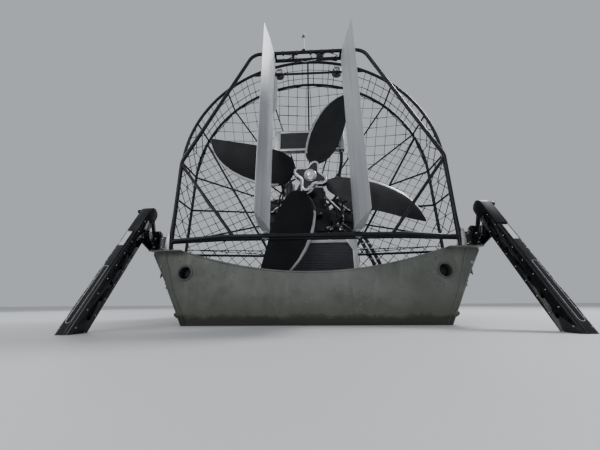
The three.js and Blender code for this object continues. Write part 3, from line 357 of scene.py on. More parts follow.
class Finish:
    """A material and its nodes, on the boat's own coordinates."""

    def __init__(self, name, roughness=0.5, metallic=0.0, coat=0.0):
        self.material = bpy.data.materials.new(name)
        self.material.use_nodes = True
        self.tree = self.material.node_tree
        self.shader = self.tree.nodes["Principled BSDF"]
        self.set("Roughness", roughness)
        self.set("Metallic", metallic)
        self.set("Coat Weight", coat)
        self.coordinates = self.tree.nodes.new("ShaderNodeTexCoord")

    def set(self, name, number):
        self.shader.inputs[name].default_value = number

    def link(self, source, target):
        self.tree.links.new(source, target)
        return target

    def stretched(self, scale=(1, 1, 1)):
        mapping = self.tree.nodes.new("ShaderNodeMapping")
        mapping.inputs["Scale"].default_value = scale
        self.link(self.coordinates.outputs["Object"], mapping.inputs["Vector"])
        return mapping.outputs["Vector"]

    def noise(self, scale, stretch=(1, 1, 1), detail=5, roughness=0.6, distortion=0.0):
        node = self.tree.nodes.new("ShaderNodeTexNoise")
        node.inputs["Scale"].default_value = scale
        node.inputs["Detail"].default_value = detail
        node.inputs["Roughness"].default_value = roughness
        node.inputs["Distortion"].default_value = distortion
        self.link(self.stretched(stretch), node.inputs["Vector"])
        return node.outputs["Fac"]

    def cells(self, scale, feature="F1"):
        node = self.tree.nodes.new("ShaderNodeTexVoronoi")
        node.feature = feature
        node.inputs["Scale"].default_value = scale
        self.link(self.stretched(), node.inputs["Vector"])
        return node.outputs["Distance"]

    def waves(self, scale, direction):
        node = self.tree.nodes.new("ShaderNodeTexWave")
        node.bands_direction = direction
        node.inputs["Scale"].default_value = scale
        self.link(self.stretched(), node.inputs["Vector"])
        return node.outputs["Fac"]

    def place_along(self, axis):
        split = self.tree.nodes.new("ShaderNodeSeparateXYZ")
        self.link(self.coordinates.outputs["Object"], split.inputs["Vector"])
        return split.outputs[axis]

    def spread(self, value, low, high, to_low=0.0, to_high=1.0):
        node = self.tree.nodes.new("ShaderNodeMapRange")
        for name, number in zip(("From Min", "From Max", "To Min", "To Max"), (low, high, to_low, to_high)):
            node.inputs[name].default_value = number
        self.link(value, node.inputs["Value"])
        return node.outputs["Result"]

    def maths(self, operation, a, b=0.0):
        node = self.tree.nodes.new("ShaderNodeMath")
        node.operation = operation
        for socket, value in zip(node.inputs, (a, b)):
            if isinstance(value, (int, float)):
                socket.default_value = value
            else:
                self.link(value, socket)
        return node.outputs["Value"]

    def ramp(self, value, *stops):
        node = self.tree.nodes.new("ShaderNodeValToRGB")
        ramp = node.color_ramp
        while len(ramp.elements) < len(stops):
            ramp.elements.new(0.5)
        for element, (place, colour) in zip(ramp.elements, stops):
            element.position = place
            element.color = (*colour, 1)
        self.link(value, node.inputs["Fac"])
        return node.outputs["Color"]

    def mixed(self, share, a, b):
        node = self.tree.nodes.new("ShaderNodeMix")
        node.data_type = "RGBA"
        for name, value in (("A", a), ("B", b)):
            socket = [s for s in node.inputs if s.name == name and s.type == "RGBA"][0]
            if isinstance(value, tuple):
                socket.default_value = (*value, 1)
            else:
                self.link(value, socket)
        factor = [s for s in node.inputs if s.name == "Factor" and s.type == "VALUE"][0]
        if isinstance(share, (int, float)):
            factor.default_value = share
        else:
            self.link(share, factor)
        return [s for s in node.outputs if s.type == "RGBA"][0]

    def colour(self, value):
        self.link(value, self.shader.inputs["Base Color"])

    def rough(self, value):
        self.link(value, self.shader.inputs["Roughness"])

    def bump(self, *layers):
        """Layers of (value, strength, depth in metres)."""
        normal = None
        for value, strength, depth in layers:
            node = self.tree.nodes.new("ShaderNodeBump")
            node.inputs["Strength"].default_value = strength
            node.inputs["Distance"].default_value = depth
            self.link(value, node.inputs["Height"])
            if normal is not None:
                self.link(normal, node.inputs["Normal"])
            normal = node.outputs["Normal"]
        self.link(normal, self.shader.inputs["Normal"])
        return self.material


def hull_metal():
    """Dull mill-finish aluminium: clouded, stained by run-off, scuffed, darker and glossier towards the
    waterline and near black just above it.
    """
    f = Finish("hull metal", roughness=0.5, metallic=0.4)
    clouds = f.noise(1.7, detail=6)
    blotches = f.noise(8, detail=9, roughness=0.7)
    runs = f.noise(10, stretch=(1, 1, 0.22), detail=7)
    fine = f.noise(75, detail=8, roughness=0.8)
    scratches = f.noise(160, stretch=(0.05, 0.4, 1), detail=3)
    base = f.ramp(
        clouds, (0.3, (0.098, 0.107, 0.092)), (0.5, (0.150, 0.158, 0.141)), (0.75, (0.225, 0.232, 0.214)),
    )
    base = f.mixed(f.spread(blotches, 0.50, 0.72, 0, 0.5), base, (0.078, 0.082, 0.064))
    base = f.mixed(f.spread(runs, 0.55, 0.78, 0, 0.45), base, (0.27, 0.275, 0.255))
    drips = f.spread(f.noise(24, stretch=(1, 1, 0.10)), 0.58, 0.78, 0, 0.4)
    base = f.mixed(drips, base, (0.07, 0.07, 0.052))
    scuffed = f.maths("MULTIPLY", f.spread(fine, 0.56, 0.66), f.spread(f.noise(2.6, detail=3), 0.55, 0.72))
    base = f.mixed(scuffed, base, (0.50, 0.50, 0.47))
    # Darker towards the bottom, near black just above the waterline.
    edge = f.maths("ADD", f.place_along("Z"), f.spread(f.noise(7, detail=6), 0, 1, -0.05, 0.05))
    base = f.mixed(f.spread(edge, 0.34, 0.16, 0, 0.65), base, (0.060, 0.060, 0.042))
    base = f.mixed(f.spread(edge, 0.175, 0.145, 0, 0.85), base, (0.024, 0.025, 0.017))
    f.colour(base)
    wet = f.spread(edge, 0.22, 0.16)
    dry = f.spread(blotches, 0.3, 0.8, 0.40, 0.66)
    f.rough(f.maths("MULTIPLY", dry, f.spread(wet, 0, 1, 1, 0.45)))
    return f.bump((clouds, 0.3, 0.02), (blotches, 0.2, 0.002), (scratches, 0.2, 0.0004))


def rudder_metal():
    """Brighter brushed aluminium with long upright streaks and spray marks."""
    f = Finish("brushed rudder metal", roughness=0.5, metallic=0.45)
    streaks = f.noise(26, stretch=(1, 1, 0.035), detail=6)
    fine = f.noise(180, stretch=(1, 1, 0.02), detail=3)
    spots = f.noise(38, detail=7, roughness=0.75)
    clouds = f.noise(3, stretch=(1, 1, 0.5))
    base = f.ramp(
        streaks, (0.25, (0.50, 0.515, 0.535)), (0.5, (0.63, 0.645, 0.665)), (0.8, (0.78, 0.79, 0.80)),
    )
    base = f.mixed(f.spread(clouds, 0.35, 0.75, 0, 0.5), base, (0.52, 0.53, 0.545))
    base = f.mixed(f.spread(spots, 0.6, 0.78, 0, 0.6), base, (0.90, 0.90, 0.88))
    smears = f.spread(f.noise(11, stretch=(1, 1, 0.12), detail=8), 0.6, 0.85, 0, 0.5)
    base = f.mixed(smears, base, (0.32, 0.32, 0.30))
    f.colour(base)
    f.rough(f.spread(streaks, 0.3, 0.8, 0.46, 0.60))
    return f.bump((clouds, 0.15, 0.015), (streaks, 0.2, 0.0015), (fine, 0.3, 0.0003))


def tube_paint():
    """Dark satin paint on steel tube, with rubbed and chipped places."""
    f = Finish("dark tube paint", roughness=0.42, coat=0.1)
    f.set("Specular IOR Level", 0.3)
    wear = f.noise(34, detail=9, roughness=0.75)
    clouds = f.noise(4)
    base = f.ramp(clouds, (0.3, (0.003, 0.0034, 0.006)), (0.7, (0.006, 0.007, 0.012)))
    base = f.mixed(f.spread(wear, 0.62, 0.74, 0, 0.6), base, (0.07, 0.07, 0.075))
    base = f.mixed(f.spread(f.noise(70, detail=6), 0.70, 0.77, 0, 1), base, (0.30, 0.30, 0.30))
    f.colour(base)
    f.rough(f.spread(wear, 0.4, 0.75, 0.3, 0.62))
    return f.bump((wear, 0.2, 0.0006), (f.noise(260, detail=2), 0.12, 0.0003))


def blade_composite():
    """Black composite with a faint weave, dusty patches and fine scuffs."""
    f = Finish("blade composite", roughness=0.42)
    f.set("Specular IOR Level", 0.22)
    weave = f.waves(260, "DIAGONAL")
    scuffs = f.noise(60, stretch=(1, 1, 0.15), detail=7)
    dust = f.noise(6, detail=7)
    base = f.ramp(dust, (0.35, (0.004, 0.0045, 0.006)), (0.75, (0.013, 0.013, 0.015)))
    base = f.mixed(f.spread(scuffs, 0.64, 0.8, 0, 0.35), base, (0.10, 0.10, 0.10))
    f.colour(base)
    f.rough(f.spread(dust, 0.3, 0.8, 0.32, 0.6))
    return f.bump((weave, 0.06, 0.0002), (scuffs, 0.15, 0.0004))


def bright_metal(name="polished metal", dark=0.0, roughness=0.18):
    """Polished metal with fine swirls, finger marks and stains."""
    f = Finish(name, roughness=roughness, metallic=1.0)
    stains = f.noise(28, detail=8, roughness=0.7)
    swirls = f.noise(240, stretch=(1, 0.2, 1), detail=2)
    light = 0.86 - dark
    bluish = (light, light, light * 1.01)
    base = f.ramp(stains, (0.3, (light * 0.72,) * 3), (0.55, bluish), (0.85, (light * 0.9,) * 3))
    base = f.mixed(f.spread(f.noise(55, detail=6), 0.64, 0.8, 0, 0.7), base, (0.12, 0.11, 0.09))
    f.colour(base)
    f.rough(f.spread(stains, 0.3, 0.8, roughness * 0.7, roughness * 2.2))
    return f.bump((swirls, 0.12, 0.0003), (stains, 0.1, 0.001))


def cast_metal():
    """Sand-cast aluminium: grainy, oily in patches."""
    f = Finish("cast aluminium", roughness=0.5, metallic=0.7)
    grain = f.noise(320, detail=4)
    oil = f.noise(8, detail=8, roughness=0.7)
    base = f.ramp(oil, (0.3, (0.045, 0.042, 0.036)), (0.5, (0.16, 0.16, 0.155)), (0.8, (0.28, 0.28, 0.28)))
    f.colour(base)
    f.rough(f.spread(oil, 0.35, 0.7, 0.32, 0.62))
    return f.bump((grain, 0.5, 0.0008), (oil, 0.15, 0.002))


def engine_paint(name="engine enamel", lift=1.0):
    """Black enamel with oil film and dust; lift pales it."""
    f = Finish(name, roughness=0.45, metallic=0.15, coat=0.15)
    dust = f.noise(12, detail=9, roughness=0.7)
    stops = (0.35, (0.010, 0.010, 0.011)), (0.6, (0.03, 0.03, 0.032)), (0.85, (0.13, 0.125, 0.11))
    base = f.ramp(dust, *((place, tuple(c * lift for c in colour)) for place, colour in stops))
    f.colour(base)
    f.rough(f.spread(dust, 0.3, 0.8, 0.25, 0.7))
    return f.bump((f.noise(240, detail=4), 0.35, 0.0006), (dust, 0.2, 0.002))


def exhaust_steel():
    """Sooty stainless pipe, browned where it runs hot, with rust freckles."""
    f = Finish("heat-stained steel", roughness=0.35, metallic=0.95)
    heat = f.noise(5, detail=4, distortion=0.6)
    base = f.ramp(
        heat, (0.25, (0.022, 0.022, 0.027)), (0.45, (0.050, 0.044, 0.038)), (0.65, (0.10, 0.094, 0.085)),
        (0.85, (0.035, 0.033, 0.032)),
    )
    freckles = f.spread(f.noise(70, detail=8, roughness=0.8), 0.62, 0.76, 0, 0.8)
    base = f.mixed(freckles, base, (0.060, 0.032, 0.016))
    f.colour(base)
    f.rough(f.spread(heat, 0.2, 0.8, 0.28, 0.6))
    return f.bump((f.noise(90, detail=6), 0.3, 0.0008),)


def rubber(name="hose rubber", shade=0.018):
    f = Finish(name, roughness=0.6)
    bloom = f.noise(18, detail=7)
    base = f.ramp(bloom, (0.3, (shade, shade, shade)), (0.8, (shade * 3, shade * 3, shade * 2.8)))
    f.colour(base)
    f.rough(f.spread(bloom, 0.3, 0.8, 0.45, 0.75))
    return f.bump((f.noise(420, detail=2), 0.3, 0.0004), (bloom, 0.1, 0.001))


WORN_EDGE = (1.3085, 1.3105)


def black_coat(name, coat, low, high, rubbed=False):
    """Black hard coat with drying water marks and fine scratches.

    A rubbed one is worn pale in stretches of the poles' outer edge.
    """
    f = Finish(name, roughness=0.2, coat=coat)
    f.set("Coat Roughness", 0.07)
    f.set("Specular IOR Level", 0.3)
    marks = f.noise(45, detail=9, roughness=0.75)
    lines = f.noise(300, stretch=(1, 0.1, 0.05), detail=2)
    base = f.ramp(
        marks, (0.45, (0.004, 0.004, 0.005)), (0.7, (0.012, 0.012, 0.014)), (0.9, (0.10, 0.10, 0.10)),
    )
    if rubbed:
        out = f.maths("ABSOLUTE", f.place_along("X"))
        ragged = f.spread(f.noise(46, detail=8, roughness=0.75), 0.3, 0.7, -0.007, 0.006)
        worn = f.spread(f.maths("ADD", out, ragged), *WORN_EDGE)
        stretches = f.spread(f.noise(5, detail=3), 0.44, 0.56)
        base = f.mixed(f.maths("MULTIPLY", worn, stretches), base, (0.62, 0.62, 0.60))
    f.colour(base)
    f.rough(f.spread(marks, 0.35, 0.8, low, high))
    return f.bump((lines, 0.05, 0.0002), (marks, 0.05, 0.0005))


def moulded_plastic(name="moulded plastic", shade=0.03):
    f = Finish(name, roughness=0.5)
    grain = f.cells(420)
    chalk = f.noise(9, detail=8)
    base = f.ramp(
        chalk, (0.35, (shade, shade, shade * 1.05)), (0.8, (shade * 2.4, shade * 2.4, shade * 2.3)),
    )
    f.colour(base)
    f.rough(f.spread(chalk, 0.3, 0.8, 0.42, 0.68))
    return f.bump((grain, 0.25, 0.0005),)


def seat_vinyl():
    """Marine vinyl: leather grain, creases and sun fade."""
    f = Finish("marine vinyl", roughness=0.48, coat=0.1)
    grain = f.cells(330, feature="DISTANCE_TO_EDGE")
    creases = f.noise(16, detail=7, distortion=0.8)
    fade = f.noise(3, detail=5)
    base = f.ramp(fade, (0.3, (0.035, 0.037, 0.042)), (0.75, (0.085, 0.087, 0.092)))
    base = f.mixed(f.spread(creases, 0.62, 0.8, 0, 0.5), base, (0.15, 0.15, 0.15))
    f.colour(base)
    f.rough(f.spread(creases, 0.3, 0.8, 0.4, 0.62))
    return f.bump((grain, 0.35, 0.0006), (creases, 0.3, 0.003))


def deck_tread():
    """Deck plate under dark non-skid paint, worn through where feet pass."""
    f = Finish("non-skid deck", roughness=0.8, metallic=0.1)
    grit = f.noise(520, detail=2)
    worn = f.noise(3.2, detail=9, roughness=0.7)
    base = f.ramp(
        worn, (0.3, (0.07, 0.072, 0.07)), (0.58, (0.12, 0.122, 0.118)), (0.68, (0.34, 0.34, 0.32)),
    )
    base = f.mixed(f.spread(f.noise(22, detail=8), 0.6, 0.8, 0, 0.7), base, (0.20, 0.17, 0.12))
    f.colour(base)
    f.rough(f.spread(worn, 0.3, 0.8, 0.9, 0.55))
    return f.bump((grit, 0.7, 0.0012),)


def radiator_core():
    """Close fins between flat tubes, dusty, as light stripes with painted shade in the gaps between them.
    """
    f = Finish("radiator fins", roughness=0.55, metallic=0.5)
    fins = f.waves(90, "X")
    dust = f.noise(14, detail=7)
    # The dark stripes are painted shade in the gaps between the fins.
    base = f.ramp(fins, (0.2, (0.034, 0.037, 0.043)), (0.9, (0.235, 0.245, 0.265)))
    base = f.mixed(f.spread(dust, 0.55, 0.8, 0, 0.5), base, (0.16, 0.15, 0.12))
    f.colour(base)
    return f.bump((fins, 0.8, 0.003),)


def filter_paper():
    """Pleated red filter cloth."""
    f = Finish("pleated filter", roughness=0.9)
    dust = f.noise(20, detail=7)
    base = f.ramp(dust, (0.35, (0.20, 0.022, 0.018)), (0.8, (0.16, 0.08, 0.06)))
    f.colour(base)
    return f.bump((f.waves(60, "Y"), 0.6, 0.004), (f.waves(60, "X"), 0.6, 0.004))


def lamp_glass(name="lamp glass", dark=(0.62, 0.64, 0.62), light=(0.90, 0.91, 0.90)):
    f = Finish(name, roughness=0.08, coat=0.6)
    f.set("Transmission Weight", 0.25)
    f.set("IOR", 1.45)
    rings = f.cells(55)
    base = f.ramp(rings, (0.0, dark), (0.7, light))
    f.colour(base)
    return f.bump((rings, 0.5, 0.004),)


def pale_plastic():
    f = Finish("pale plastic", roughness=0.4)
    grime = f.noise(30, detail=8)
    f.colour(f.ramp(grime, (0.35, (0.72, 0.73, 0.72)), (0.8, (0.50, 0.50, 0.46))))
    f.rough(f.spread(grime, 0.3, 0.8, 0.3, 0.55))
    return f.bump((f.noise(200), 0.1, 0.0003),)


def label_film():
    """Bleached blank label with scuffs."""
    f = Finish("label film", roughness=0.35)
    wear = f.noise(60, detail=8)
    f.colour(f.ramp(wear, (0.4, (0.66, 0.68, 0.69)), (0.6, (0.76, 0.77, 0.77)), (0.78, (0.25, 0.25, 0.26))))
    return f.bump((wear, 0.1, 0.0003),)


def studio_floor():
    f = Finish("studio floor", roughness=0.6)
    f.colour(f.ramp(f.noise(0.6, detail=3), (0.3, (0.60, 0.605, 0.61)), (0.8, (0.64, 0.645, 0.65))))
    return f.bump((f.noise(3, detail=2), 0.02, 0.01),)


HULL = hull_metal()
RUDDER = rudder_metal()
PAINT = tube_paint()
BLADE = blade_composite()
POLISHED = bright_metal()
SATIN = bright_metal("satin metal", 0.25, 0.34)
CAST = cast_metal()
ENAMEL = engine_paint()
TUBE_ENAMEL = engine_paint("radiator enamel", 3.2)
PIPE = exhaust_steel()
HOSE = rubber()
# Near-black rubber for the drains' flaps: painted shade deep in the bores.
PAINTED_SHADE_FLAP = rubber("flap rubber in painted shade", 0.004)
GLOSS = black_coat("gloss black coat", 0.22, 0.08, 0.35)
RUBBED = black_coat("rubbed black coat", 0.22, 0.08, 0.35, rubbed=True)
SATIN_BLACK = black_coat("satin black coat", 0.0, 0.38, 0.60)
PLASTIC = moulded_plastic()
GREY_PLASTIC = moulded_plastic("grey plastic", 0.055)
VINYL = seat_vinyl()
DECK = deck_tread()
CORE = radiator_core()
FILTER = filter_paper()
GLASS = lamp_glass()
RED_GLASS = lamp_glass("red glass", (0.25, 0.008, 0.006), (0.50, 0.020, 0.015))
GREEN_GLASS = lamp_glass("green glass", (0.006, 0.16, 0.05), (0.015, 0.34, 0.11))
PALE = pale_plastic()
FILM = label_film()


def dress(finish, *nodes):
    """Puts a finish on CAD nodes that stay."""
    for node in nodes:
        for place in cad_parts[node].material_slots:
            place.link = "OBJECT"
            place.material = finish


# Hull

def dip_height(x):
    return DIP_LOW + (DIP_HIGH - DIP_LOW) * (x / DIP_HALF) ** 2


# Heights up the side, and how far each strake stands out
STRAKES = ((0.180, 0.024), (0.400, 0.022))


def side_half(height):
    """Half breadth over the side plate at a height."""
    if height < KNUCKLE_Z:
        rise = (height - HULL_SHEET) / (KNUCKLE_Z - 3 * HULL_SHEET)
        return BOTTOM_HALF + (KNUCKLE_HALF - HULL_SHEET - BOTTOM_HALF) * rise
    return KNUCKLE_HALF + (UPPER_HALF - KNUCKLE_HALF) * (height - KNUCKLE_Z - 0.016) / UPPER_RISE


def strake(side, z, out):
    """Bent strip along the side, wedge-shaped in section, cut square at the transom."""
    x = side_half(z)
    section = [(x - 0.003, z - 0.030), (x + out, z - 0.012), (x + out, z + 0.004), (x - 0.003, z + 0.020)]
    return slab([(side * px, STERN + 0.003, pz) for px, pz in section], (0, 3.880, 0), 0.003)


def hull():
    dress(HULL, "hull_bottom", "transom", "bow_plate", "bow_deck")
    for name, _ in SIDES:
        dress(HULL, f"hull_side_{name}")
        for node in (f"gunwale_{name}", f"stern_corner_plate_{name}"):
            rounded_node(node, f"{node}_rounded", HULL, 0.003)
    dress(DECK, "deck_floor")
    steps = 48
    xs = [DIP_HALF * (2 * k / steps - 1) for k in range(steps + 1)]
    lip = tube([(x, STERN + HULL_SHEET / 2, dip_height(x)) for x in xs], 0.0085)
    shown(lip, "transom_lip", HULL)
    for name, side in SIDES:
        edge = [(side * x, STERN + 0.002, z) for x, z in (
            (BOTTOM_HALF, 0.008), (KNUCKLE_HALF, KNUCKLE_Z), (1.087, 0.395), (HALF_BEAM - 0.003, 0.612),
        )]
        crease = [
            (side * x, STERN - 0.001, z)
            for x, z in ((1.128, 0.618), (1.064, 0.440), (1.030, 0.345), (0.850, 0.012))
        ]
        lines = [tube(edge, 0.006), tube(filleted(crease, 0.1), 0.004)]
        shown(lines, f"transom_weld_{name}", HULL)
        shown([strake(side, *row) for row in STRAKES], f"side_strakes_{name}", HULL)
        eye = turned(
            [
                (0.005, -0.004), (0.010, -0.004), (0.011, -0.001), (0.010, 0.002), (0.005, 0.002),
                (0.005, -0.004),
            ],
            (side * 1.150, STERN - 0.001, 0.520), Y_AXIS, 20,
        )
        shown(eye, f"tie_down_eye_{name}", SATIN)


def bow_deck_height(y):
    return 0.612 + 0.040 * (y - 4.350) if y < 4.900 else 0.634 + 0.060 * (y - 4.900)


def deck_plate(x, y0, y1, rise, finish, name):
    """Plate lying on the sloping foredeck, x to either side of its middle."""
    outline = [
        at(-x, y, bow_deck_height(y) + up)
        for y, up in ((y0, 0.0003), (y1, 0.0003), (y1, rise), (y0, rise))
    ]
    shown(slab(outline, (2 * x, 0, 0), min(0.002, rise / 3)), name, finish)


def cleat(x, y, z):
    """Two-horned cleat on its foot plate."""
    pieces = [block(at(x - 0.018, y - 0.055, z), at(x + 0.018, y + 0.055, z + 0.006), 0.002)]
    pieces += [
        rod(at(x, y + step, z + 0.004), at(x, y + step, z + 0.036), 0.008)
        for step in (-0.024, 0.024)
    ]
    horn = [(-0.095, 0.046), (-0.040, 0.036), (0.040, 0.036), (0.095, 0.046)]
    pieces.append(tube(filleted([at(x, y + step, z + up) for step, up in horn], 0.05), 0.0085))
    return joined(pieces)


def hull_fittings():
    """Side ribs, gunwale rivets, cleats, foredeck hatch, grip strips and bow light."""
    inner = ((0.885, 0.108), (1.028, 0.374), (1.070, 0.607))
    for name, side in SIDES:
        web = [*inner, (1.104, 0.607), (1.063, 0.366), (0.925, 0.108)]
        flange = [*inner, *((x - 0.004, z) for x, z in reversed(inner))]
        rib = joined([
            slab([at(side * x, 0.480, z) for x, z in web], (0, 0.006, 0), 0.001, 1),
            slab([at(side * x, 0.480, z) for x, z in flange], (0, 0.032, 0), 0.001, 1),
        ])
        shown(repeated(rib, 8, (0, 0.480, 0)), f"side_ribs_{name}", HULL)
        rivets_y = [0.370 + 0.140 * k for k in range(26)]
        top = heads([at(side * 1.140, y, GUNWALE_TOP) for y in rivets_y], Z_AXIS, 0.0065, 0.003, 6)
        flank = heads([at(side * 1.1103, y, 0.585) for y in rivets_y], (side, 0, 0), 0.0065, 0.003, 6)
        shown([top, flank], f"gunwale_rivets_{name}", SATIN)
        cleats = [
            cleat(side * 0.820, 5.060, bow_deck_height(5.060)), cleat(side * 1.165, 1.000, GUNWALE_TOP),
        ]
        shown(cleats, f"cleats_{name}", CAST)
    deck_plate(0.300, 4.430, 4.650, 0.009, HULL, "foredeck_hatch")
    y, z = 4.428, bow_deck_height(4.428) + 0.007
    hinges = [rod(at(x - 0.035, y, z), at(x + 0.035, y, z), 0.006) for x in (-0.200, 0.200)]
    latch = turned(
        [(0.014, 0.0), (0.026, 0.0), (0.026, 0.003), (0.014, 0.003), (0.014, 0.0)],
        at(0, 4.615, bow_deck_height(4.615) + 0.0088), Z_AXIS, 28,
    )
    shown([*hinges, latch], "foredeck_hatch_fittings", SATIN)
    for k in range(4):
        deck_plate(0.580, 4.980 + 0.085 * k, 5.025 + 0.085 * k, 0.0025, DECK, f"foredeck_grip_{k + 1}")
    centre = at(0, 5.345, bow_deck_height(5.345))
    base = turned(
        [(0, -0.003), (0.036, -0.003), (0.036, 0.012), (0.031, 0.015), (0, 0.015)], centre, Z_AXIS, 32,
    )
    shown(base, "bow_light_base", PLASTIC)
    dome = turned(
        [(0, 0.014), (0.029, 0.014), (0.029, 0.028), (0.022, 0.040), (0.010, 0.045), (0, 0.046)], centre,
        Z_AXIS, 32,
    )
    for polygon in dome.data.polygons:
        polygon.material_index = 1 if polygon.center.x > 0 else 0
    shown(dome, "bow_light_lens", [RED_GLASS, GREEN_GLASS])


def drain(name, x):
    """Flanged ring with a rubber flap inside and two screws over it. The bore's lining takes the darker
    plastic and the flap is near black: painted shade in the bore.
    """
    centre = (x, STERN, DRAIN_Z)
    ring = turned(
        [(0.0445, 0.058), (0.0445, -0.002), (0.047, -0.006), (0.057, -0.006), (0.060, -0.003), (0.060, 0.0),
         (0.049, 0.0), (0.049, 0.058), (0.0445, 0.058)],
        centre, Y_AXIS, 48,
    )
    # Faces inside the bore and behind the transom take the darker plastic: painted shade in the bore.
    for polygon in ring.data.polygons:
        reach = math.hypot(polygon.center.x - x, polygon.center.z - DRAIN_Z)
        polygon.material_index = 1 if reach < 0.0455 or polygon.center.y > STERN else 0
    shown(ring, f"drain_ring_{name}", [GREY_PLASTIC, PLASTIC], [f"drain_fitting_{name}"])
    # The flap is near black: painted shade deep in the bore.
    flap = turned(
        [(0.0, 0.044), (0.030, 0.042), (0.0442, 0.050), (0.0442, 0.056), (0.0, 0.056)], centre, Y_AXIS, 32,
    )
    shown(flap, f"drain_flap_{name}", PAINTED_SHADE_FLAP)
    places = [(x + dx, STERN, DRAIN_Z + 0.088) for dx in (-0.052, 0.056)]
    shown(heads(places, -Y_AXIS, 0.007, 0.004), f"drain_screws_{name}", CAST)


# Cage

def hoop_point(y, radius, degrees, z=HOOP_CENTRE_Z):
    turn = math.radians(degrees)
    return Vector((radius * math.sin(turn), y, z + radius * math.cos(turn)))


def on_hoop(y, radius, degrees):
    """On the legs below the arch, x stays at the hoop's radius."""
    point = hoop_point(y, radius, degrees)
    if abs(degrees) > 90:
        point.x = math.copysign(radius, degrees)
    return point


def spoke_point(degrees, radius):
    rim = on_hoop(FRONT_HOOP_Y, FRONT_HOOP_RADIUS, degrees)
    inner = hoop_point(INNER_RING_Y, INNER_RING_RADIUS, degrees, PROP_CENTRE.z)
    return inner.lerp(rim, (radius - INNER_RING_RADIUS) / (FRONT_HOOP_RADIUS - INNER_RING_RADIUS))


def arch(y, radius, foot_z):
    steps = 64
    arc = [hoop_point(y, radius, 90 - 180 * k / steps) for k in range(steps + 1)]
    return [Vector((radius, y, foot_z)), *arc, Vector((-radius, y, foot_z))]


def rudder_frame():
    corners = [
        (FRAME_FOOT_X, FRAME_Y, CORNER_PLATE_TOP), (FRAME_FOOT_X, FRAME_Y, 0.700), (1.106, FRAME_Y, 1.414),
        (0.548, FRAME_Y, FRAME_TOP_Z),
    ]
    corners += [(-x, y, z) for x, y, z in reversed(corners)]
    pieces = [tube(filleted(corners, 0.13, 8), FRAME_R)]
    pieces.append(rod((-0.47, SECOND_BAR_Y, FRAME_TOP_Z), (0.47, SECOND_BAR_Y, FRAME_TOP_Z), FRAME_R))
    for y, drop in ((FRAME_Y, 0), (SECOND_BAR_Y, 0.008)):
        bar = [
            (-FRAME_FOOT_X, FRAME_Y, CROSSBAR_END_Z - drop), (-CROSSBAR_BEND_X, y, CROSSBAR_Z),
            (CROSSBAR_BEND_X, y, CROSSBAR_Z), (FRAME_FOOT_X, FRAME_Y, CROSSBAR_END_Z - drop),
        ]
        pieces.append(tube(filleted(bar, 0.2), FRAME_R))
    for _, side in SIDES:
        for x in (0.456, 0.150):
            x *= side
            pieces.append(rod((x, FRAME_Y, FRAME_TOP_Z), (x, SECOND_BAR_Y, FRAME_TOP_Z), 0.011))
        pieces.append(rod((side * 1.105, FRAME_Y, 1.390), (side * 0.605, FRAME_Y, CROSSBAR_Z), 0.013))
        x = side * RUDDER_X
        for z in (CROSSBAR_Z + 0.008, FRAME_TOP_Z - 0.016):
            low, high = (x - 0.045, FRAME_Y - 0.006, z), (x + 0.045, SECOND_BAR_Y + 0.006, z + 0.011)
            pieces.append(block(low, high, 0.002))
    shown(pieces, "rudder_frame_tubes", PAINT, ["rudder_frame"])
    bearings = []
    for _, side in SIDES:
        for z, height in ((CROSSBAR_Z - 0.016, 0.044), (FRAME_TOP_Z - 0.020, 0.032)):
            profile = [
                (0.0135, 0), (0.024, 0), (0.026, 0.002), (0.026, height - 0.002), (0.024, height),
                (0.0135, height), (0.0135, 0),
            ]
            bearings.append(turned(profile, (side * RUDDER_X, RUDDER_PIVOT_Y, z), Z_AXIS, 24))
    shown(bearings, "rudder_bearings", SATIN)


def aft_hoop():
    half = math.sqrt(AFT_HOOP_RADIUS ** 2 - (LAMP_BAR_Z - HOOP_CENTRE_Z) ** 2)
    pieces = [
        tube(arch(AFT_HOOP_Y, AFT_HOOP_RADIUS, CORNER_PLATE_TOP), HOOP_R),
        rod((-half, AFT_HOOP_Y, LAMP_BAR_Z), (half, AFT_HOOP_Y, LAMP_BAR_Z), 0.011),
    ]
    shown(pieces, "aft_hoop_tubes", PAINT, ["cage_aft_hoop"])


def front_cage():
    """Hoop, ring, spokes that bend back over the hoop to the aft one, and stays of the lower radiator."""
    pieces = [tube(arch(FRONT_HOOP_Y, FRONT_HOOP_RADIUS, 0.625), HOOP_R)]
    low, high = SPOKE_ANGLES[0], SPOKE_ANGLES[-1]
    ring = [
        hoop_point(INNER_RING_Y, INNER_RING_RADIUS, low + (high - low) * k / 48, PROP_CENTRE.z)
        for k in range(49)
    ]
    pieces.append(tube(ring, RING_R))
    for angle in SPOKE_ANGLES:
        rim = on_hoop(FRONT_HOOP_Y, FRONT_HOOP_RADIUS, angle)
        back = on_hoop(AFT_HOOP_Y, AFT_HOOP_RADIUS, angle)
        inner = hoop_point(INNER_RING_Y, INNER_RING_RADIUS, angle, PROP_CENTRE.z)
        line = [back, rim, inner] if abs(angle) < 120 else [rim, inner]
        pieces.append(tube(filleted(line, 0.05), SPOKE_R))
    for _, side in SIDES:
        leg = Vector((side * FRONT_HOOP_RADIUS, FRONT_HOOP_Y, STAY_Z))
        pieces.append(rod(leg, at(side * 0.4403, 0.535, STAY_Z), 0.011))
        shoulder = hoop_point(FRONT_HOOP_Y, FRONT_HOOP_RADIUS, side * BRACE_ANGLE)
        pieces.append(rod(shoulder, at(side * 0.4403, 0.533, 0.766), 0.011))
    shown(pieces, "front_cage_tubes", PAINT, ["cage_front"])


WIRE_CELL, LOW_WIRE_CELL = 0.105, 0.080
WIRE_R = 0.004
SCREEN_LIFT = 0.012


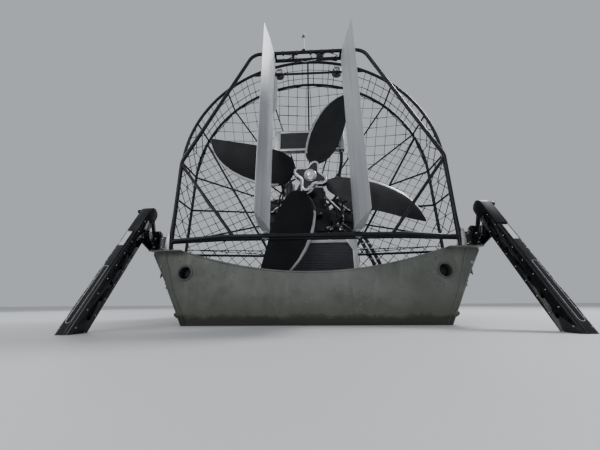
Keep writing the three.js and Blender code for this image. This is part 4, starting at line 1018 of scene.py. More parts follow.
def wire_panel(corners, turn, cell=WIRE_CELL, lift=SCREEN_LIFT):
    """Square wire mesh cut to a flat four-cornered panel."""
    middle = sum(corners, Vector()) / 4
    normal = (corners[2] - corners[0]).cross(corners[3] - corners[1]).normalized()
    if normal.y < 0:
        normal.negate()
    up = (corners[0] + corners[1] - corners[2] - corners[3]).normalized()
    side = up.cross(normal).normalized()
    reach = max((c - middle).length for c in corners) + cell
    count = int(2 * reach / cell)
    deselect()
    bpy.ops.mesh.primitive_grid_add(x_subdivisions=count, y_subdivisions=count, size=count * cell)
    grid = bpy.context.object
    x_axis = side * math.cos(turn) + up * math.sin(turn)
    y_axis = normal.cross(x_axis)
    for vertex in grid.data.vertices:
        vertex.co = x_axis * vertex.co.x + y_axis * vertex.co.y
    grid.location = middle + normal * lift
    applied()
    bpy.ops.object.mode_set(mode="EDIT")
    for a, b in zip(corners, corners[1:] + corners[:1]):
        inward = normal.cross(b - a).normalized()
        if (middle - a).dot(inward) < 0:
            inward.negate()
        bpy.ops.mesh.select_all(action="SELECT")
        bpy.ops.mesh.bisect(plane_co=a, plane_no=inward, clear_inner=True, clear_outer=False)
    bpy.ops.mesh.select_all(action="SELECT")
    bpy.ops.mesh.delete(type="ONLY_FACE")
    bpy.ops.object.mode_set(mode="OBJECT")
    bpy.ops.object.convert(target="CURVE")
    line = bpy.context.object.data
    line.bevel_depth = WIRE_R
    line.bevel_resolution = 0
    bpy.ops.object.convert(target="MESH")
    return applied()


def wire_screen():
    """Mesh over the spokes, between the hoops and under the ring: upright at the top, askew below."""
    panels = []
    for a, b in zip(SPOKE_ANGLES, SPOKE_ANGLES[1:]):
        rim = [on_hoop(FRONT_HOOP_Y, FRONT_HOOP_RADIUS, angle) for angle in (a, b)]
        inner = [hoop_point(INNER_RING_Y, INNER_RING_RADIUS, angle, PROP_CENTRE.z) for angle in (a, b)]
        middle = (a + b) / 2
        low = abs(middle) > 60
        lean = 45 if low else 15 if abs(middle) > 30 else 0
        turn = math.radians(math.copysign(lean, middle) - middle)
        panels.append(
            wire_panel([rim[0], rim[1], inner[1], inner[0]], turn, LOW_WIRE_CELL if low else WIRE_CELL)
        )
        for p, q in ((a, middle), (middle, b)):
            front = [on_hoop(FRONT_HOOP_Y, FRONT_HOOP_RADIUS, angle) for angle in (p, q)]
            back = [on_hoop(AFT_HOOP_Y, AFT_HOOP_RADIUS, angle) for angle in (p, q)]
            panels.append(
                wire_panel([back[0], back[1], front[1], front[0]], math.radians(45 if low else 0), lift=0)
            )
    for _, side in SIDES:
        leg_x, inner_x, leg_y = FRONT_HOOP_RADIUS, 0.455, FRONT_HOOP_Y + 0.016
        foot = [
            (leg_x, leg_y, 0.742), (inner_x, STERN + 0.540, 0.742), (inner_x, STERN + 0.540, 0.300),
            (leg_x, leg_y, 0.640),
        ]
        rim = on_hoop(FRONT_HOOP_Y, FRONT_HOOP_RADIUS, 125)
        inner = hoop_point(INNER_RING_Y, INNER_RING_RADIUS, 125, PROP_CENTRE.z)
        over = rim.lerp(inner, (rim.x - 0.440) / (rim.x - inner.x))
        apron = [rim, inner, (over.x, over.y, 0.760), (rim.x, rim.y, 0.742)]
        for corners in (foot, apron):
            corners = [Vector((side * x, y, z)) for x, y, z in corners]
            panels.append(wire_panel(corners, math.radians(45), LOW_WIRE_CELL, lift=0))
    shown(panels, "wire_screen", PAINT, ["cage_screen"])


# Rudders

def foil_half(share):
    """Half thickness along the chord, as a share of its greatest."""
    naca = 0.2969 * math.sqrt(share) - 0.1260 * share - 0.3516 * share ** 2
    return max(10 * (naca + 0.2843 * share ** 3 - 0.1015 * share ** 4), 0.05 if share > 0.5 else 0)


def rudder(name, side):
    count = 22
    shares = [(1 - math.cos(math.pi * k / count)) / 2 for k in range(count + 1)]
    x, nose = side * RUDDER_X, RUDDER_PIVOT_Y + RUDDER_NOSE
    right = [(x + foil_half(c) * RUDDER_THICK / 2, nose - c * RUDDER_CHORD, RUDDER_BOTTOM) for c in shares]
    left = [(2 * x - px, py, pz) for px, py, pz in reversed(right[1:])]
    blade = slab(right + left, (0, 0, RUDDER_TOP - RUDDER_BOTTOM), 0.0)
    opened(blade)
    rake = Vector((0, nose - RUDDER_CHORD - 0.010 - RUDDER_PIVOT_Y + 0.030, -RUDDER_RAKE))
    bpy.ops.mesh.bisect(
        plane_co=(x, RUDDER_PIVOT_Y - 0.030, RUDDER_TOP), plane_no=X_AXIS.cross(rake), use_fill=True,
        clear_inner=True,
    )
    smoothed(applied())
    pieces = [blade]
    pivot = Vector((x, RUDDER_PIVOT_Y, 0))
    for low, high, radius in ((CROSSBAR_Z - 0.020, RUDDER_BOTTOM + 0.005, 0.012),
                              (RUDDER_TOP - 0.005, FRAME_TOP_Z + 0.012, 0.012),
                              (HORN_Z, RUDDER_BOTTOM + 0.002, 0.022)):
        pieces.append(rod(pivot + Z_AXIS * low, pivot + Z_AXIS * high, radius))
    horn = [(-0.018, -0.024), (0.018, -0.024), (0.012, HORN_REACH + 0.010), (-0.012, HORN_REACH + 0.010)]
    outline = [(x + a, RUDDER_PIVOT_Y + b, HORN_Z) for a, b in horn]
    pieces.append(slab(outline, (0, 0, HORN_THICK), 0.0015))
    pin = pivot + Y_AXIS * HORN_REACH
    pieces.append(rod(pin + Z_AXIS * HORN_Z, pin + Z_AXIS * (HORN_Z + 0.030), 0.005))
    node = f"rudder_{name}"
    shown(pieces, f"{node}_skin", RUDDER, [node], node)
    rib_z = [RUDDER_BOTTOM + 0.02 + 0.410 * k for k in range(5)]
    rivets = []
    for face in (-1, 1):
        for z in rib_z:
            for c in (0.08, 0.16, 0.24, 0.32, 0.42, 0.52, 0.62, 0.72, 0.82):
                place = (x + face * foil_half(c) * RUDDER_THICK / 2, nose - c * RUDDER_CHORD, z)
                rivets.append((place, face))
    groups = [
        heads([p for p, f in rivets if f == face], (face, 0, 0), 0.0035, 0.0022, 6)
        for face in (-1, 1)
    ]
    shown(groups, f"{node}_rivets", SATIN, body=node)


def rudder_tabs():
    """Narrow fin on the inner face of the left rudder and a rounded stiffening plate on the right one."""
    x = -RUDDER_X + 0.030
    y = RUDDER_PIVOT_Y - 0.030
    fin = [(x, y, 1.90), (x + 0.034, y, 1.97), (x + 0.038, y, 2.25), (x + 0.022, y, 2.34), (x, y, 2.36)]
    fin = slab(fin, (0, 0.004, 0), 0.0015)
    shown(fin, "rudder_left_fin", RUDDER, body="rudder_left")
    x = RUDDER_X + 0.028
    outline = filleted([(x, y, 1.78), (x + 0.055, y, 1.80), (x + 0.055, y, 2.00), (x, y, 2.02)], 0.04)
    plate = slab(outline, (0, 0.006, 0), 0.002)
    shown(plate, "rudder_right_plate", RUDDER, body="rudder_right")


# Propeller. Columns: radius, leading edge, trailing edge, pitch in degrees, thickness
BLADE_SECTIONS = (
    (0.064, 0.026, -0.026, 30, 0.052),
    (0.168, 0.026, -0.026, 30, 0.046),
    (0.171, 0.045, -0.042, 29, 0.045),
    (0.178, 0.068, -0.062, 29, 0.044),
    (0.190, 0.094, -0.086, 28, 0.042),
    (0.208, 0.120, -0.108, 28, 0.040),
    (0.240, 0.149, -0.128, 27, 0.037),
    (0.280, 0.171, -0.140, 26, 0.034),
    (0.320, 0.190, -0.150, 25, 0.032),
    (0.410, 0.212, -0.156, 23, 0.028),
    (0.515, 0.223, -0.154, 20, 0.024),
    (0.645, 0.220, -0.143, 18, 0.020),
    (0.770, 0.197, -0.127, 16, 0.017),
    (0.865, 0.164, -0.114, 14, 0.014),
    (0.938, 0.125, -0.104, 13, 0.012),
    (1.001, 0.076, -0.096, 12, 0.010),
    (1.053, 0.018, -0.088, 12, 0.007),
    (1.087, -0.032, -0.083, 11, 0.005),
    (1.105, -0.060, -0.080, 11, 0.003),
)


BLADE_POINTS = 32
STRIP_SHARE = math.cos(2 * math.pi * 3 / BLADE_POINTS) - 0.01
STRIP_START = 0.30


def blade_ring(radius, lead, trail, pitch, thick):
    """A section of the blade that points straight up from the hub."""
    along = Vector((-math.cos(math.radians(pitch)), math.sin(math.radians(pitch)), 0))
    face = Z_AXIS.cross(along)
    root = max(0.0, min(1.0, (0.30 - radius) / 0.12))
    middle, half = (lead + trail) / 2, (lead - trail) / 2
    points = []
    for k in range(BLADE_POINTS):
        turn = 2 * math.pi * k / BLADE_POINTS
        across = math.sin(turn) * (root + (1 - root) * (0.55 + 0.45 * math.cos(turn)) * 1.25)
        place = along * (middle + half * math.cos(turn)) + face * (across * thick / 2)
        points.append(PROP_CENTRE + Z_AXIS * radius + place)
    return points


def propeller():
    blade = lofted([blade_ring(*row) for row in BLADE_SECTIONS])
    rows = {round(row[0], 4): row for row in BLADE_SECTIONS}
    for polygon in blade.data.polygons:
        shares = []
        for k in polygon.vertices:
            place = blade.data.vertices[k].co - PROP_CENTRE
            _, lead, trail, pitch, _ = rows[round(place.z, 4)]
            along = -place.x * math.cos(math.radians(pitch)) + place.y * math.sin(math.radians(pitch))
            shares.append((along - (lead + trail) / 2) / ((lead - trail) / 2))
        strip = min(shares) > STRIP_SHARE and polygon.center.z - PROP_CENTRE.z > STRIP_START
        polygon.material_index = 1 if strip else 0
    smoothed(blade, 60)
    to_hub = Matrix.Translation(PROP_CENTRE)
    for k in range(4):
        pick(blade)
        bpy.ops.object.duplicate()
        turn = Matrix.Rotation(math.radians(90 - FIRST_BLADE_ANGLE - 90 * k), 4, "Y")
        bpy.context.object.matrix_world = to_hub @ turn @ to_hub.inverted()
        node = f"propeller_blade_{k + 1}"
        shown(applied(), f"{node}_skin", [BLADE, SATIN], [node], "propeller")
    bpy.data.objects.remove(blade)


def hub():
    """Two clover plates that clamp the shanks, with polished edges, bolts and a spinner cap."""
    pieces = []
    for back, front in ((-0.045, -0.0263), (0.0263, 0.045)):
        lobes = []
        for k in range(96):
            turn = 2 * math.pi * k / 96
            radius = 0.133 + 0.034 * math.cos(4 * (turn - math.radians(FIRST_BLADE_ANGLE)))
            lobes.append(PROP_CENTRE + Vector((radius * math.cos(turn), back, radius * math.sin(turn))))
        pieces.append(slab(lobes, (0, front - back, 0), 0.0085, 4))
    plates = joined(pieces)
    pick(plates)
    bpy.ops.object.mode_set(mode="EDIT")
    bpy.ops.mesh.select_all(action="DESELECT")
    for face in bmesh.from_edit_mesh(plates.data).faces:
        face.select = face.normal.y < -0.95 and face.calc_center_median().y < PROP_CENTRE.y - 0.044
    bpy.ops.mesh.inset(thickness=0.017, depth=-0.0015)
    for face in bmesh.from_edit_mesh(plates.data).faces:
        face.material_index = 1 if face.select else 0
    smoothed(applied(), 35)
    shown(plates, "hub_plates", [POLISHED, ENAMEL], ["propeller_hub"], "propeller")
    core = turned(
        [
            (0, 0.047), (0.060, 0.047), (0.060, 0.0262), (0.096, 0.0262), (0.099, 0.022), (0.099, -0.022),
            (0.096, -0.0262), (0.060, -0.0262), (0.060, -0.047), (0.056, -0.051), (0.056, -0.066),
            (0.050, -0.072), (0.030, -0.080), (0.012, -0.084), (0, -0.085),
        ],
        PROP_CENTRE, Y_AXIS, 40,
    )
    shown(core, "hub_core", POLISHED, body="propeller")
    places = []
    for k in range(8):
        turn = math.radians(FIRST_BLADE_ANGLE + 90 * (k // 2) + (14 if k % 2 else -14))
        places.append(PROP_CENTRE + Vector((0.120 * math.cos(turn), -0.045, 0.120 * math.sin(turn))))
    bolts = heads(places, -Y_AXIS, 0.009, 0.009, 6)
    shown(bolts, "hub_bolts", POLISHED, body="propeller")


# Power unit

def both(outline, y):
    """An outline in x and z, mirrored across the boat's middle."""
    half = [at(x, y, z) for x, z in outline]
    return half + [Vector((-p.x, p.y, p.z)) for p in reversed(half)]


def gearbox():
    rounded_node("reduction_gearbox", "gearbox_case", ENAMEL, 0.006, 3)
    rim = [(0.155, 1.235), (0.150, 1.32), (0.148, 1.40), (0.098, 1.488), (0.035, 1.49), (0.105, 1.145)]
    places = [at(side * x, 0.590, z) for x, z in rim for side in (-1, 1)]
    shown(heads(places, -Y_AXIS, 0.010, 0.008, 6), "gearbox_bolts", SATIN)
    cover = turned(
        [(0.039, -0.012), (0.052, -0.014), (0.070, -0.008), (0.074, 0.0), (0.039, 0.0), (0.039, -0.012)],
        at(0, 0.545, 1.390), Y_AXIS, 36,
    )
    shown(cover, "shaft_seal", SATIN)
    cap = turned(
        [(0, -0.020), (0.040, -0.020), (0.052, -0.012), (0.056, 0.0), (0, 0.0)], at(0, 0.590, 1.195),
        Y_AXIS, 32,
    )
    shown(cap, "lower_bearing_cap", CAST)


def engine():
    rounded_node("engine_block", "engine_block_case", ENAMEL, 0.006, 3)
    plugs, sump = [], []
    for side in (-1, 1):
        for k in range(3):
            plugs.append(turned(
                [(0, 0.006), (0.024, 0.006), (0.026, 0.002), (0.026, -0.002), (0, -0.002)],
                at(side * 0.213, 1.08 + 0.17 * k, 1.10), (side, 0, 0), 20,
            ))
        sump += [at(side * 0.165, 0.98 + 0.07 * k, 1.000) for k in range(9)]
    shown(plugs, "core_plugs", SATIN)
    shown(heads(sump, -Z_AXIS, 0.007, 0.006, 6), "sump_bolts", SATIN)
    oil_filter = turned(
        [
            (0, -0.050), (0.034, -0.050), (0.040, -0.044), (0.040, 0.040), (0.036, 0.048), (0.036, 0.058),
            (0, 0.058),
        ],
        at(0.250, 1.44, 1.045), (1, -0.3, -0.5), 28,
    )
    shown(oil_filter, "oil_filter", PALE)
    starter = turned(
        [
            (0, -0.10), (0.030, -0.10), (0.036, -0.09), (0.040, -0.02), (0.046, 0.0), (0.046, 0.13),
            (0.040, 0.14), (0, 0.14),
        ],
        at(-0.245, 1.06, 1.020), Y_AXIS, 28,
    )
    shown(starter, "starter_motor", ENAMEL)
    for name, side in SIDES:
        node = f"cylinder_head_{name}"
        rounded_node(node, f"{node}_case", ENAMEL, 0.005, 3)
        fins = []
        outer = Vector((side, 0, 1)).normalized()
        for k in range(6):
            share = 0.10 + 0.16 * k
            foot = at(side * (0.381 + 0.060 * share), 0.99, 1.449 - 0.060 * share)
            across = Vector((side, 0, -1)).normalized() * 0.0025
            corners = [
                foot - across, foot + across, foot + across + outer * 0.010, foot - across + outer * 0.010,
            ]
            fins.append(slab(corners, (0, 0.53, 0), 0.001, 1))
        shown(fins, f"valve_cover_fins_{name}", ENAMEL)
        leads = []
        for k in range(4):
            y = CYLINDER_Y + CYLINDER_PITCH * k
            run = (
                (0.405, y, 1.345), (0.395, y + 0.01, 1.475), (0.250, y, 1.500),
                (0.080, 1.02 + 0.02 * k, 1.475),
            )
            line = filleted([at(side * x, *rest) for x, *rest in run], 0.05)
            leads.append(tube(line, 0.004, roundness=1))
        shown(leads, f"plug_leads_{name}", HOSE)


def engine_mounting():
    """Plate between bell and block, coil boxes on it, and the looms and fuel lines round the gearbox."""
    half = [
        (0.270, 0.900), (0.355, 0.885), (0.368, 0.900), (0.362, 0.960), (0.310, 1.010), (0.335, 1.080),
        (0.335, 1.190), (0.300, 1.225), (0.225, 1.235), (0.150, 1.180),
    ]
    for name, side in SIDES:
        plate = slab([at(side * x, 0.938, z) for x, z in half], (0, 0.008, 0), 0.0015)
        coil = block(at(side * 0.245, 0.885, 1.020), at(side * 0.330, 0.9375, 1.170), 0.006, 3)
        pieces = [plate, coil]
        for k in range(4):
            z = 1.035 + 0.03 * k
            low, high = at(side * (0.215 + 0.015 * k), 0.872, z), at(side * 0.300, 0.886, z + 0.015)
            pieces.append(block(low, high, 0.003))
        shown(pieces, f"motor_plate_{name}", ENAMEL)
    distributor = turned(
        [
            (0, 1.415), (0.034, 1.415), (0.034, 1.436), (0.044, 1.440), (0.044, 1.458), (0.030, 1.472),
            (0, 1.474),
        ],
        at(0, 1.018, 0), Z_AXIS, 32,
    )
    shown(distributor, "distributor", PLASTIC)
    looms = (
        (
            0.011, (-0.310, 0.870, 1.160), (-0.250, 0.770, 1.260), (-0.150, 0.700, 1.410),
            (0.020, 0.900, 1.500),
        ),
        (0.009, (0.310, 0.870, 1.160), (0.290, 0.740, 1.240), (0.200, 0.680, 1.330), (0.120, 0.900, 1.480)),
        (0.012, (0.240, 0.860, 1.050), (0.300, 0.720, 1.120), (0.370, 0.700, 1.230), (0.390, 0.980, 1.330)),
        (
            0.010, (0.200, 0.700, 1.000), (0.330, 0.670, 1.060), (0.420, 0.720, 1.000),
            (0.460, 0.930, 0.930), (0.440, 1.300, 0.900),
        ),
        (0.008, (0.160, 0.610, 0.990), (0.280, 0.590, 1.020), (0.360, 0.630, 0.940), (0.380, 0.700, 0.872)),
        (
            0.014, (-0.200, 0.690, 1.020), (-0.330, 0.680, 1.080), (-0.420, 0.740, 1.010),
            (-0.440, 0.980, 0.930), (-0.420, 1.350, 0.890),
        ),
        (
            0.009, (-0.250, 0.860, 1.060), (-0.340, 0.730, 1.150), (-0.390, 0.760, 1.260),
            (-0.400, 1.000, 1.350),
        ),
    )
    sleeves, ends = [], []
    for radius, *steps in looms:
        line = filleted([at(*p) for p in steps], 0.09, 8)
        sleeves.append(tube(line, radius, roundness=2))
        for end, inner in ((line[0], line[1]), (line[-1], line[-2])):
            step = (inner - end).normalized()
            ends.append(rod(end, end + step * 0.026, radius * 1.25, roundness=1))
            ends.append(rod(end + step * 0.030, end + step * 0.038, radius * 1.15, roundness=1))
    shown(sleeves, "engine_looms", HOSE)
    shown(ends, "loom_fittings", SATIN)


def engine_tins():
    """Folded plates behind the cylinder banks, with straps, a breather can, a cap and a braided line."""
    half = [
        (0.300, 1.240), (0.345, 1.190), (0.345, 1.095), (0.430, 1.075), (0.500, 1.075), (0.528, 1.100),
        (0.530, 1.340), (0.500, 1.445), (0.455, 1.485), (0.350, 1.492), (0.262, 1.440),
    ]
    straps, studs = [], []
    for name, side in SIDES:
        plate = slab([at(side * x, 0.970, z) for x, z in half], (0, 0.007, 0), 0.0015)
        edge = rounded_band([at(side * x, 0.9735, z) for x, z in half[3:10]], (0, 0.040, 0), 0.004)
        corners = ((0.375, 1.125), (0.490, 1.125), (0.490, 1.270), (0.375, 1.360))
        press = slab([at(side * x, 0.966, z) for x, z in corners], (0, 0.006, 0), 0.003)
        shown([plate, edge, press], f"engine_tin_{name}", ENAMEL)
        corners = ((0.338, 1.412), (0.350, 1.428), (0.508, 1.296), (0.496, 1.280))
        straps.append(slab([at(side * x, 0.958, z) for x, z in corners], (0, 0.009, 0), 0.003))
        holes = (
            (0.320, 1.235), (0.360, 1.110), (0.508, 1.110), (0.510, 1.335), (0.452, 1.462), (0.352, 1.470),
        )
        studs += [at(side * x, 0.970, z) for x, z in holes]
    shown(straps, "tin_straps", POLISHED)
    shown(heads(studs, -Y_AXIS, 0.009, 0.007, 6), "tin_bolts", SATIN)
    cap = turned(
        [(0, -0.030), (0.024, -0.030), (0.030, -0.026), (0.034, -0.010), (0.034, 0.004), (0, 0.004)],
        at(0.288, 0.885, 1.105), Y_AXIS, 32,
    )
    shown(cap, "governor_cap", POLISHED)
    can = turned(
        [
            (0, 1.452), (0.050, 1.452), (0.060, 1.462), (0.060, 1.500), (0.0625, 1.503), (0.0625, 1.520),
            (0.060, 1.523), (0.060, 1.630), (0.052, 1.650), (0.022, 1.662), (0.022, 1.690), (0, 1.690),
        ],
        at(BREATHER_X, BREATHER_Y, 0), Z_AXIS, 36,
    )
    corners = ((BREATHER_X, BREATHER_Y), (-0.360, 0.985), (-0.330, 1.010), (-0.205, 0.925))
    bracket = slab([at(x, y, 1.446) for x, y in corners], (0, 0, 0.007), 0.001)
    shown([can, bracket], "breather_can", ENAMEL)
    line = filleted(
        [
            at(BREATHER_X, BREATHER_Y, 1.670), at(BREATHER_X, BREATHER_Y, 1.745), at(-0.320, 1.020, 1.730),
            at(-0.355, 1.090, 1.600), at(-0.362, 1.100, 1.445),
        ],
        0.05, 8,
    )
    shown(tube(line, 0.013), "breather_hose", HOSE)
    braid = filleted([
        at(0.150, 0.700, 1.420), at(0.190, 0.900, 1.475), at(0.360, 0.945, 1.310), at(0.392, 0.945, 1.220),
        at(0.375, 0.950, 1.110), at(0.330, 0.930, 1.090),
    ], 0.07, 8)
    shown(tube(braid, 0.007, roundness=2), "braided_line", SATIN)


def intake():
    plenum = slab(both([(0.105, 1.2353), (0.150, 1.360), (0.110, 1.430)], 1.010), (0, 0.490, 0), 0.012, 3)
    throat = rod(at(0, AIR_CLEANER_Y, 1.420), at(0, AIR_CLEANER_Y, 1.490), 0.075)
    shown([plenum, throat], "intake_plenum", CAST, ["intake_and_air_cleaner"])
    pan = turned(
        [
            (0, 1.480), (0.178, 1.480), (0.190, 1.485), (0.190, 1.494), (0.172, 1.496), (0.172, 1.556),
            (0.190, 1.558), (0.190, 1.564), (0.176, 1.570), (0.030, 1.566), (0, 1.566),
        ],
        at(0, AIR_CLEANER_Y, 0), Z_AXIS, 48,
    )
    for polygon in pan.data.polygons:
        flank = math.hypot(polygon.center.x, polygon.center.y - STERN - AIR_CLEANER_Y)
        polygon.material_index = 1 if 1.497 < polygon.center.z < 1.555 and flank < 0.176 else 0
    shown(pan, "air_cleaner", [SATIN, FILTER])
    nut = turned(
        [(0, 1.564), (0.012, 1.564), (0.012, 1.5695), (0, 1.5695)], at(0, AIR_CLEANER_Y, 0), Z_AXIS, 6,
    )
    shown(nut, "air_cleaner_nut", POLISHED)


def hull_of(points):
    """Corners of the tightest outline round flat points, as a belt takes it."""

    def turns_in(a, b, c):
        return (b[0] - a[0]) * (c[1] - a[1]) - (b[1] - a[1]) * (c[0] - a[0]) <= 0

    def chain(row):
        line = []
        for point in row:
            while len(line) > 1 and turns_in(line[-2], line[-1], point):
                line.pop()
            line.append(point)
        return line[:-1]

    points = sorted(points)
    return chain(points) + chain(points[::-1])


def belt_drive():
    pulleys = ((0, 1.090, 0.085), (-0.190, 1.330, 0.050), (0.190, 1.330, 0.060))
    wheels, rim = [], []
    for x, z, radius in pulleys:
        web = [
            (0, 0.004), (radius * 0.35, 0.004), (radius * 0.4, 0.014), (radius * 0.8, 0.016),
            (radius * 0.85, 0.006),
        ]
        groove = [(radius, 0.006), (radius - 0.006, 0.014), (radius - 0.006, 0.046), (radius, 0.054)]
        front = [
            (radius * 0.85, 0.056), (radius * 0.8, 0.044), (radius * 0.3, 0.046), (radius * 0.25, 0.058),
            (0, 0.058),
        ]
        wheels.append(turned(web + groove + front, at(x, 1.5603, z), Y_AXIS, 40))
        for k in range(40):
            turn = 2 * math.pi * k / 40
            reach = radius - 0.0045
            rim.append((round(x + reach * math.cos(turn), 5), round(z + reach * math.sin(turn), 5)))
    shown(wheels, "pulleys", SATIN, ["belt_drive"])
    loop = [at(x, 1.5775, z) for x, z in hull_of(rim)]
    shown(smoothed(band(loop, (0, 0.026, 0), 0.005, closed=True)), "drive_belt", HOSE)
    alternator = turned(
        [
            (0, -0.12), (0.040, -0.12), (0.055, -0.108), (0.060, -0.09), (0.060, -0.075), (0.054, -0.070),
            (0.054, -0.045), (0.060, -0.040), (0.060, -0.020), (0.050, -0.006), (0.022, -0.002),
            (0, -0.002),
        ],
        at(0.190, 1.560, 1.395), Y_AXIS, 36,
    )
    shown(alternator, "alternator", CAST)


def exhausts():
    for name, side in SIDES:
        pipes = []
        for k in range(4):
            y = CYLINDER_Y + CYLINDER_PITCH * k
            bend = ((0.4157, 0, 1.3247), (0.460, 0, 1.265), (0.490, 0.012, 1.205), (0.500, 0.020, 1.130))
            line = filleted([at(side * x, y + dy, z) for x, dy, z in bend], 0.05, 8)
            flange = (
                (0.395, -0.036, 1.306), (0.395, 0.036, 1.306), (0.436, 0.036, 1.343),
                (0.436, -0.036, 1.343),
            )
            outline = [at(side * x, y + dy, z) for x, dy, z in flange]
            pipes += [tube(line, 0.022), slab(outline, (side * 0.006, 0, -0.0065), 0.002)]
        collector = turned(
            [
                (0, 1.000), (0.030, 1.000), (0.038, 1.012), (0.038, 1.500), (0.034, 1.515), (0.034, 1.560),
                (0.038, 1.575), (0.038, 1.650), (0.033, 1.650), (0.033, 1.600), (0, 1.600),
            ],
            at(side * 0.500, 0, 1.130), Y_AXIS, 32,
        )
        pipes.append(collector)
        pipes.append(rod(at(side * 0.442, 1.010, 1.289), at(side * 0.442, 1.500, 1.289), 0.012))
        node = f"exhaust_{name}"
        shown(pipes, f"{node}_pipes", PIPE, [node])


def engine_stand():
    rail_x, foot_x, rail_z = 0.300, 0.420, 0.860
    legs = ((0.820, -0.020), (1.560, 0.060))
    half_plate = Vector((0.06, 0.06, 0.004))
    pieces = []
    for side in (-1, 1):
        pieces.append(rod(at(side * rail_x, 0.610, rail_z), at(side * rail_x, 1.640, rail_z), 0.020))
        for y, shift in legs:
            foot = at(side * foot_x, y + shift, DECK_TOP + 0.004)
            pieces.append(rod(at(side * rail_x, y, rail_z), foot, 0.020))
            pieces.append(block(foot - half_plate, foot + half_plate, 0.002))
        pieces.append(rod(at(side * 0.390, 0.805, 0.300), at(side * rail_x, 1.560, rail_z), 0.014))
    for y in (0.820, 1.560, 1.200, 0.670):
        pieces.append(rod(at(-rail_x, y, rail_z), at(rail_x, y, rail_z), 0.018))
    pieces.append(block(at(-0.140, 1.080, 0.868), at(0.140, 1.400, 0.880), 0.003))
    pieces.append(block(at(-0.170, 0.600, 0.868), at(0.170, 0.740, 0.880), 0.003))
    pieces.append(block(at(-0.060, 0.620, 0.875), at(0.060, 0.720, 1.1297), 0.004))
    shown(pieces, "engine_stand_tubes", PAINT, ["engine_stand"])
    bolts = []
    for side in (-1, 1):
        for y, shift in legs:
            foot = at(side * foot_x, y + shift, DECK_TOP + 0.008)
            bolts += [foot + Vector((dx, dy, 0)) for dx in (-0.042, 0.042) for dy in (-0.042, 0.042)]
    shown(heads(bolts, Z_AXIS, 0.010, 0.008, 6), "engine_stand_bolts", SATIN)


def cooler(name, half, y0, y1, z0, z1, tank, rows, stands_for, hangers=()):
    """Radiator: two side tanks, top and bottom rails, flat tubes and the fins between them."""
    frame_pieces = []
    for side in (-1, 1):
        frame_pieces.append(block((side * (half - tank), y0, z0), (side * half, y1, z1), 0.006, 3))
    for low, high in ((z0, z0 + 0.030), (z1 - 0.030, z1)):
        wide = half - 0.004
        frame_pieces.append(block((-wide, y0 + 0.003, low), (wide, y1 - 0.003, high), 0.003))
    frame_pieces += hangers
    shown(frame_pieces, f"{name}_frame", SATIN, [stands_for])
    middle = (y0 + y1) / 2
    deep = (y1 - y0) / 2 - 0.012
    inner = half - tank + 0.004
    core = block(
        (-inner, middle - deep + 0.004, z0 + 0.028), (inner, middle + deep - 0.004, z1 - 0.028), 0.0,
    )
    shown(core, f"{name}_fins", CORE)
    tubes = []
    pitch = (z1 - z0 - 0.07) / rows
    for k in range(rows):
        z = z0 + 0.035 + pitch * (k + 0.5)
        tubes.append(block((-inner, middle - deep, z - 0.003), (inner, middle + deep, z + 0.003), 0.002, 1))
    shown(tubes, f"{name}_tubes", TUBE_ENAMEL)


# Hoses of the lower radiator, left and right, and of the upper one
HOSE_RUNS = (
    (
        (-0.416, 0.560, 0.760), (-0.416, 0.640, 0.790), (-0.400, 0.760, 0.980), (-0.260, 0.900, 1.120),
        (-0.205, 1.050, 1.150),
    ),
    (
        (0.416, 0.560, 0.200), (0.416, 0.640, 0.220), (0.480, 1.300, 0.500), (0.330, 1.520, 0.960),
        (0.190, 1.530, 1.060),
    ),
    (
        (-0.365, 0.600, 1.925), (-0.365, 0.640, 1.800), (-0.330, 1.000, 1.560), (-0.190, 1.300, 1.510),
        (-0.120, 1.440, 1.415),
    ),
    (
        (0.365, 0.600, 1.925), (0.365, 0.640, 1.800), (0.330, 1.050, 1.540), (0.200, 1.400, 1.500),
        (0.130, 1.490, 1.400),
    ),
)


def coolers():
    cooler(
        "lower_radiator", 0.440, STERN + 0.505, STERN + 0.565, DECK_TOP, 0.838, 0.048, 26, "radiator_lower",
    )
    gussets = []
    corners = ((0.440, 0.838), (0.330, 0.838), (0.392, 0.735), (0.440, 0.735))
    for side in (-1, 1):
        gussets.append(slab([at(side * x, 0.503, z) for x, z in corners], (0, 0.004, 0), 0.001))
    shown(gussets, "lower_radiator_gussets", SATIN)
    hangers = []
    for side in (-1, 1):
        for radius in (0.60, 0.74):
            spoke = spoke_point(side * 22, radius)
            hangers.append(rod(spoke - Y_AXIS * 0.010, (spoke.x, STERN + 0.615, spoke.z), 0.007))
    cooler(
        "upper_radiator", 0.400, STERN + 0.563, STERN + 0.632, 1.904, 2.175, 0.070, 12, "radiator_upper",
        hangers,
    )
    clamps, hoses = [], []
    for points in HOSE_RUNS:
        line = filleted([at(*p) for p in points], 0.11, 8)
        hoses.append(tube(line, 0.019))
        for end, inner in ((line[0], line[1]), (line[-1], line[-2])):
            step = (inner - end).normalized()
            clamps.append(rod(end + step * 0.018, end + step * 0.030, 0.0215))
    for shift in (0.0, 0.058):
        run = (
            (0.300, 0.980, 1.060), (0.440, 0.700, 0.960), (0.500, 0.620, 0.863), (0.605, 0.605, 0.620),
            (0.640, 0.620, 0.300), (0.640, 0.800, 0.130),
        )
        line = filleted([at(x + shift, y, z) for x, y, z in run], 0.10, 8)
        hoses.append(tube(line, 0.018))
        for k in range(4):
            a, b = at(0.512 + shift, 0.618, 0.835), at(0.600 + shift, 0.606, 0.632)
            start = a.lerp(b, 0.05 + 0.26 * k)
            clamps.append(rod(start, start + (b - a).normalized() * 0.014, 0.0205))
    shown(hoses, "coolant_hoses", HOSE)
    shown(clamps, "hose_clamps", SATIN)


# Crew's places

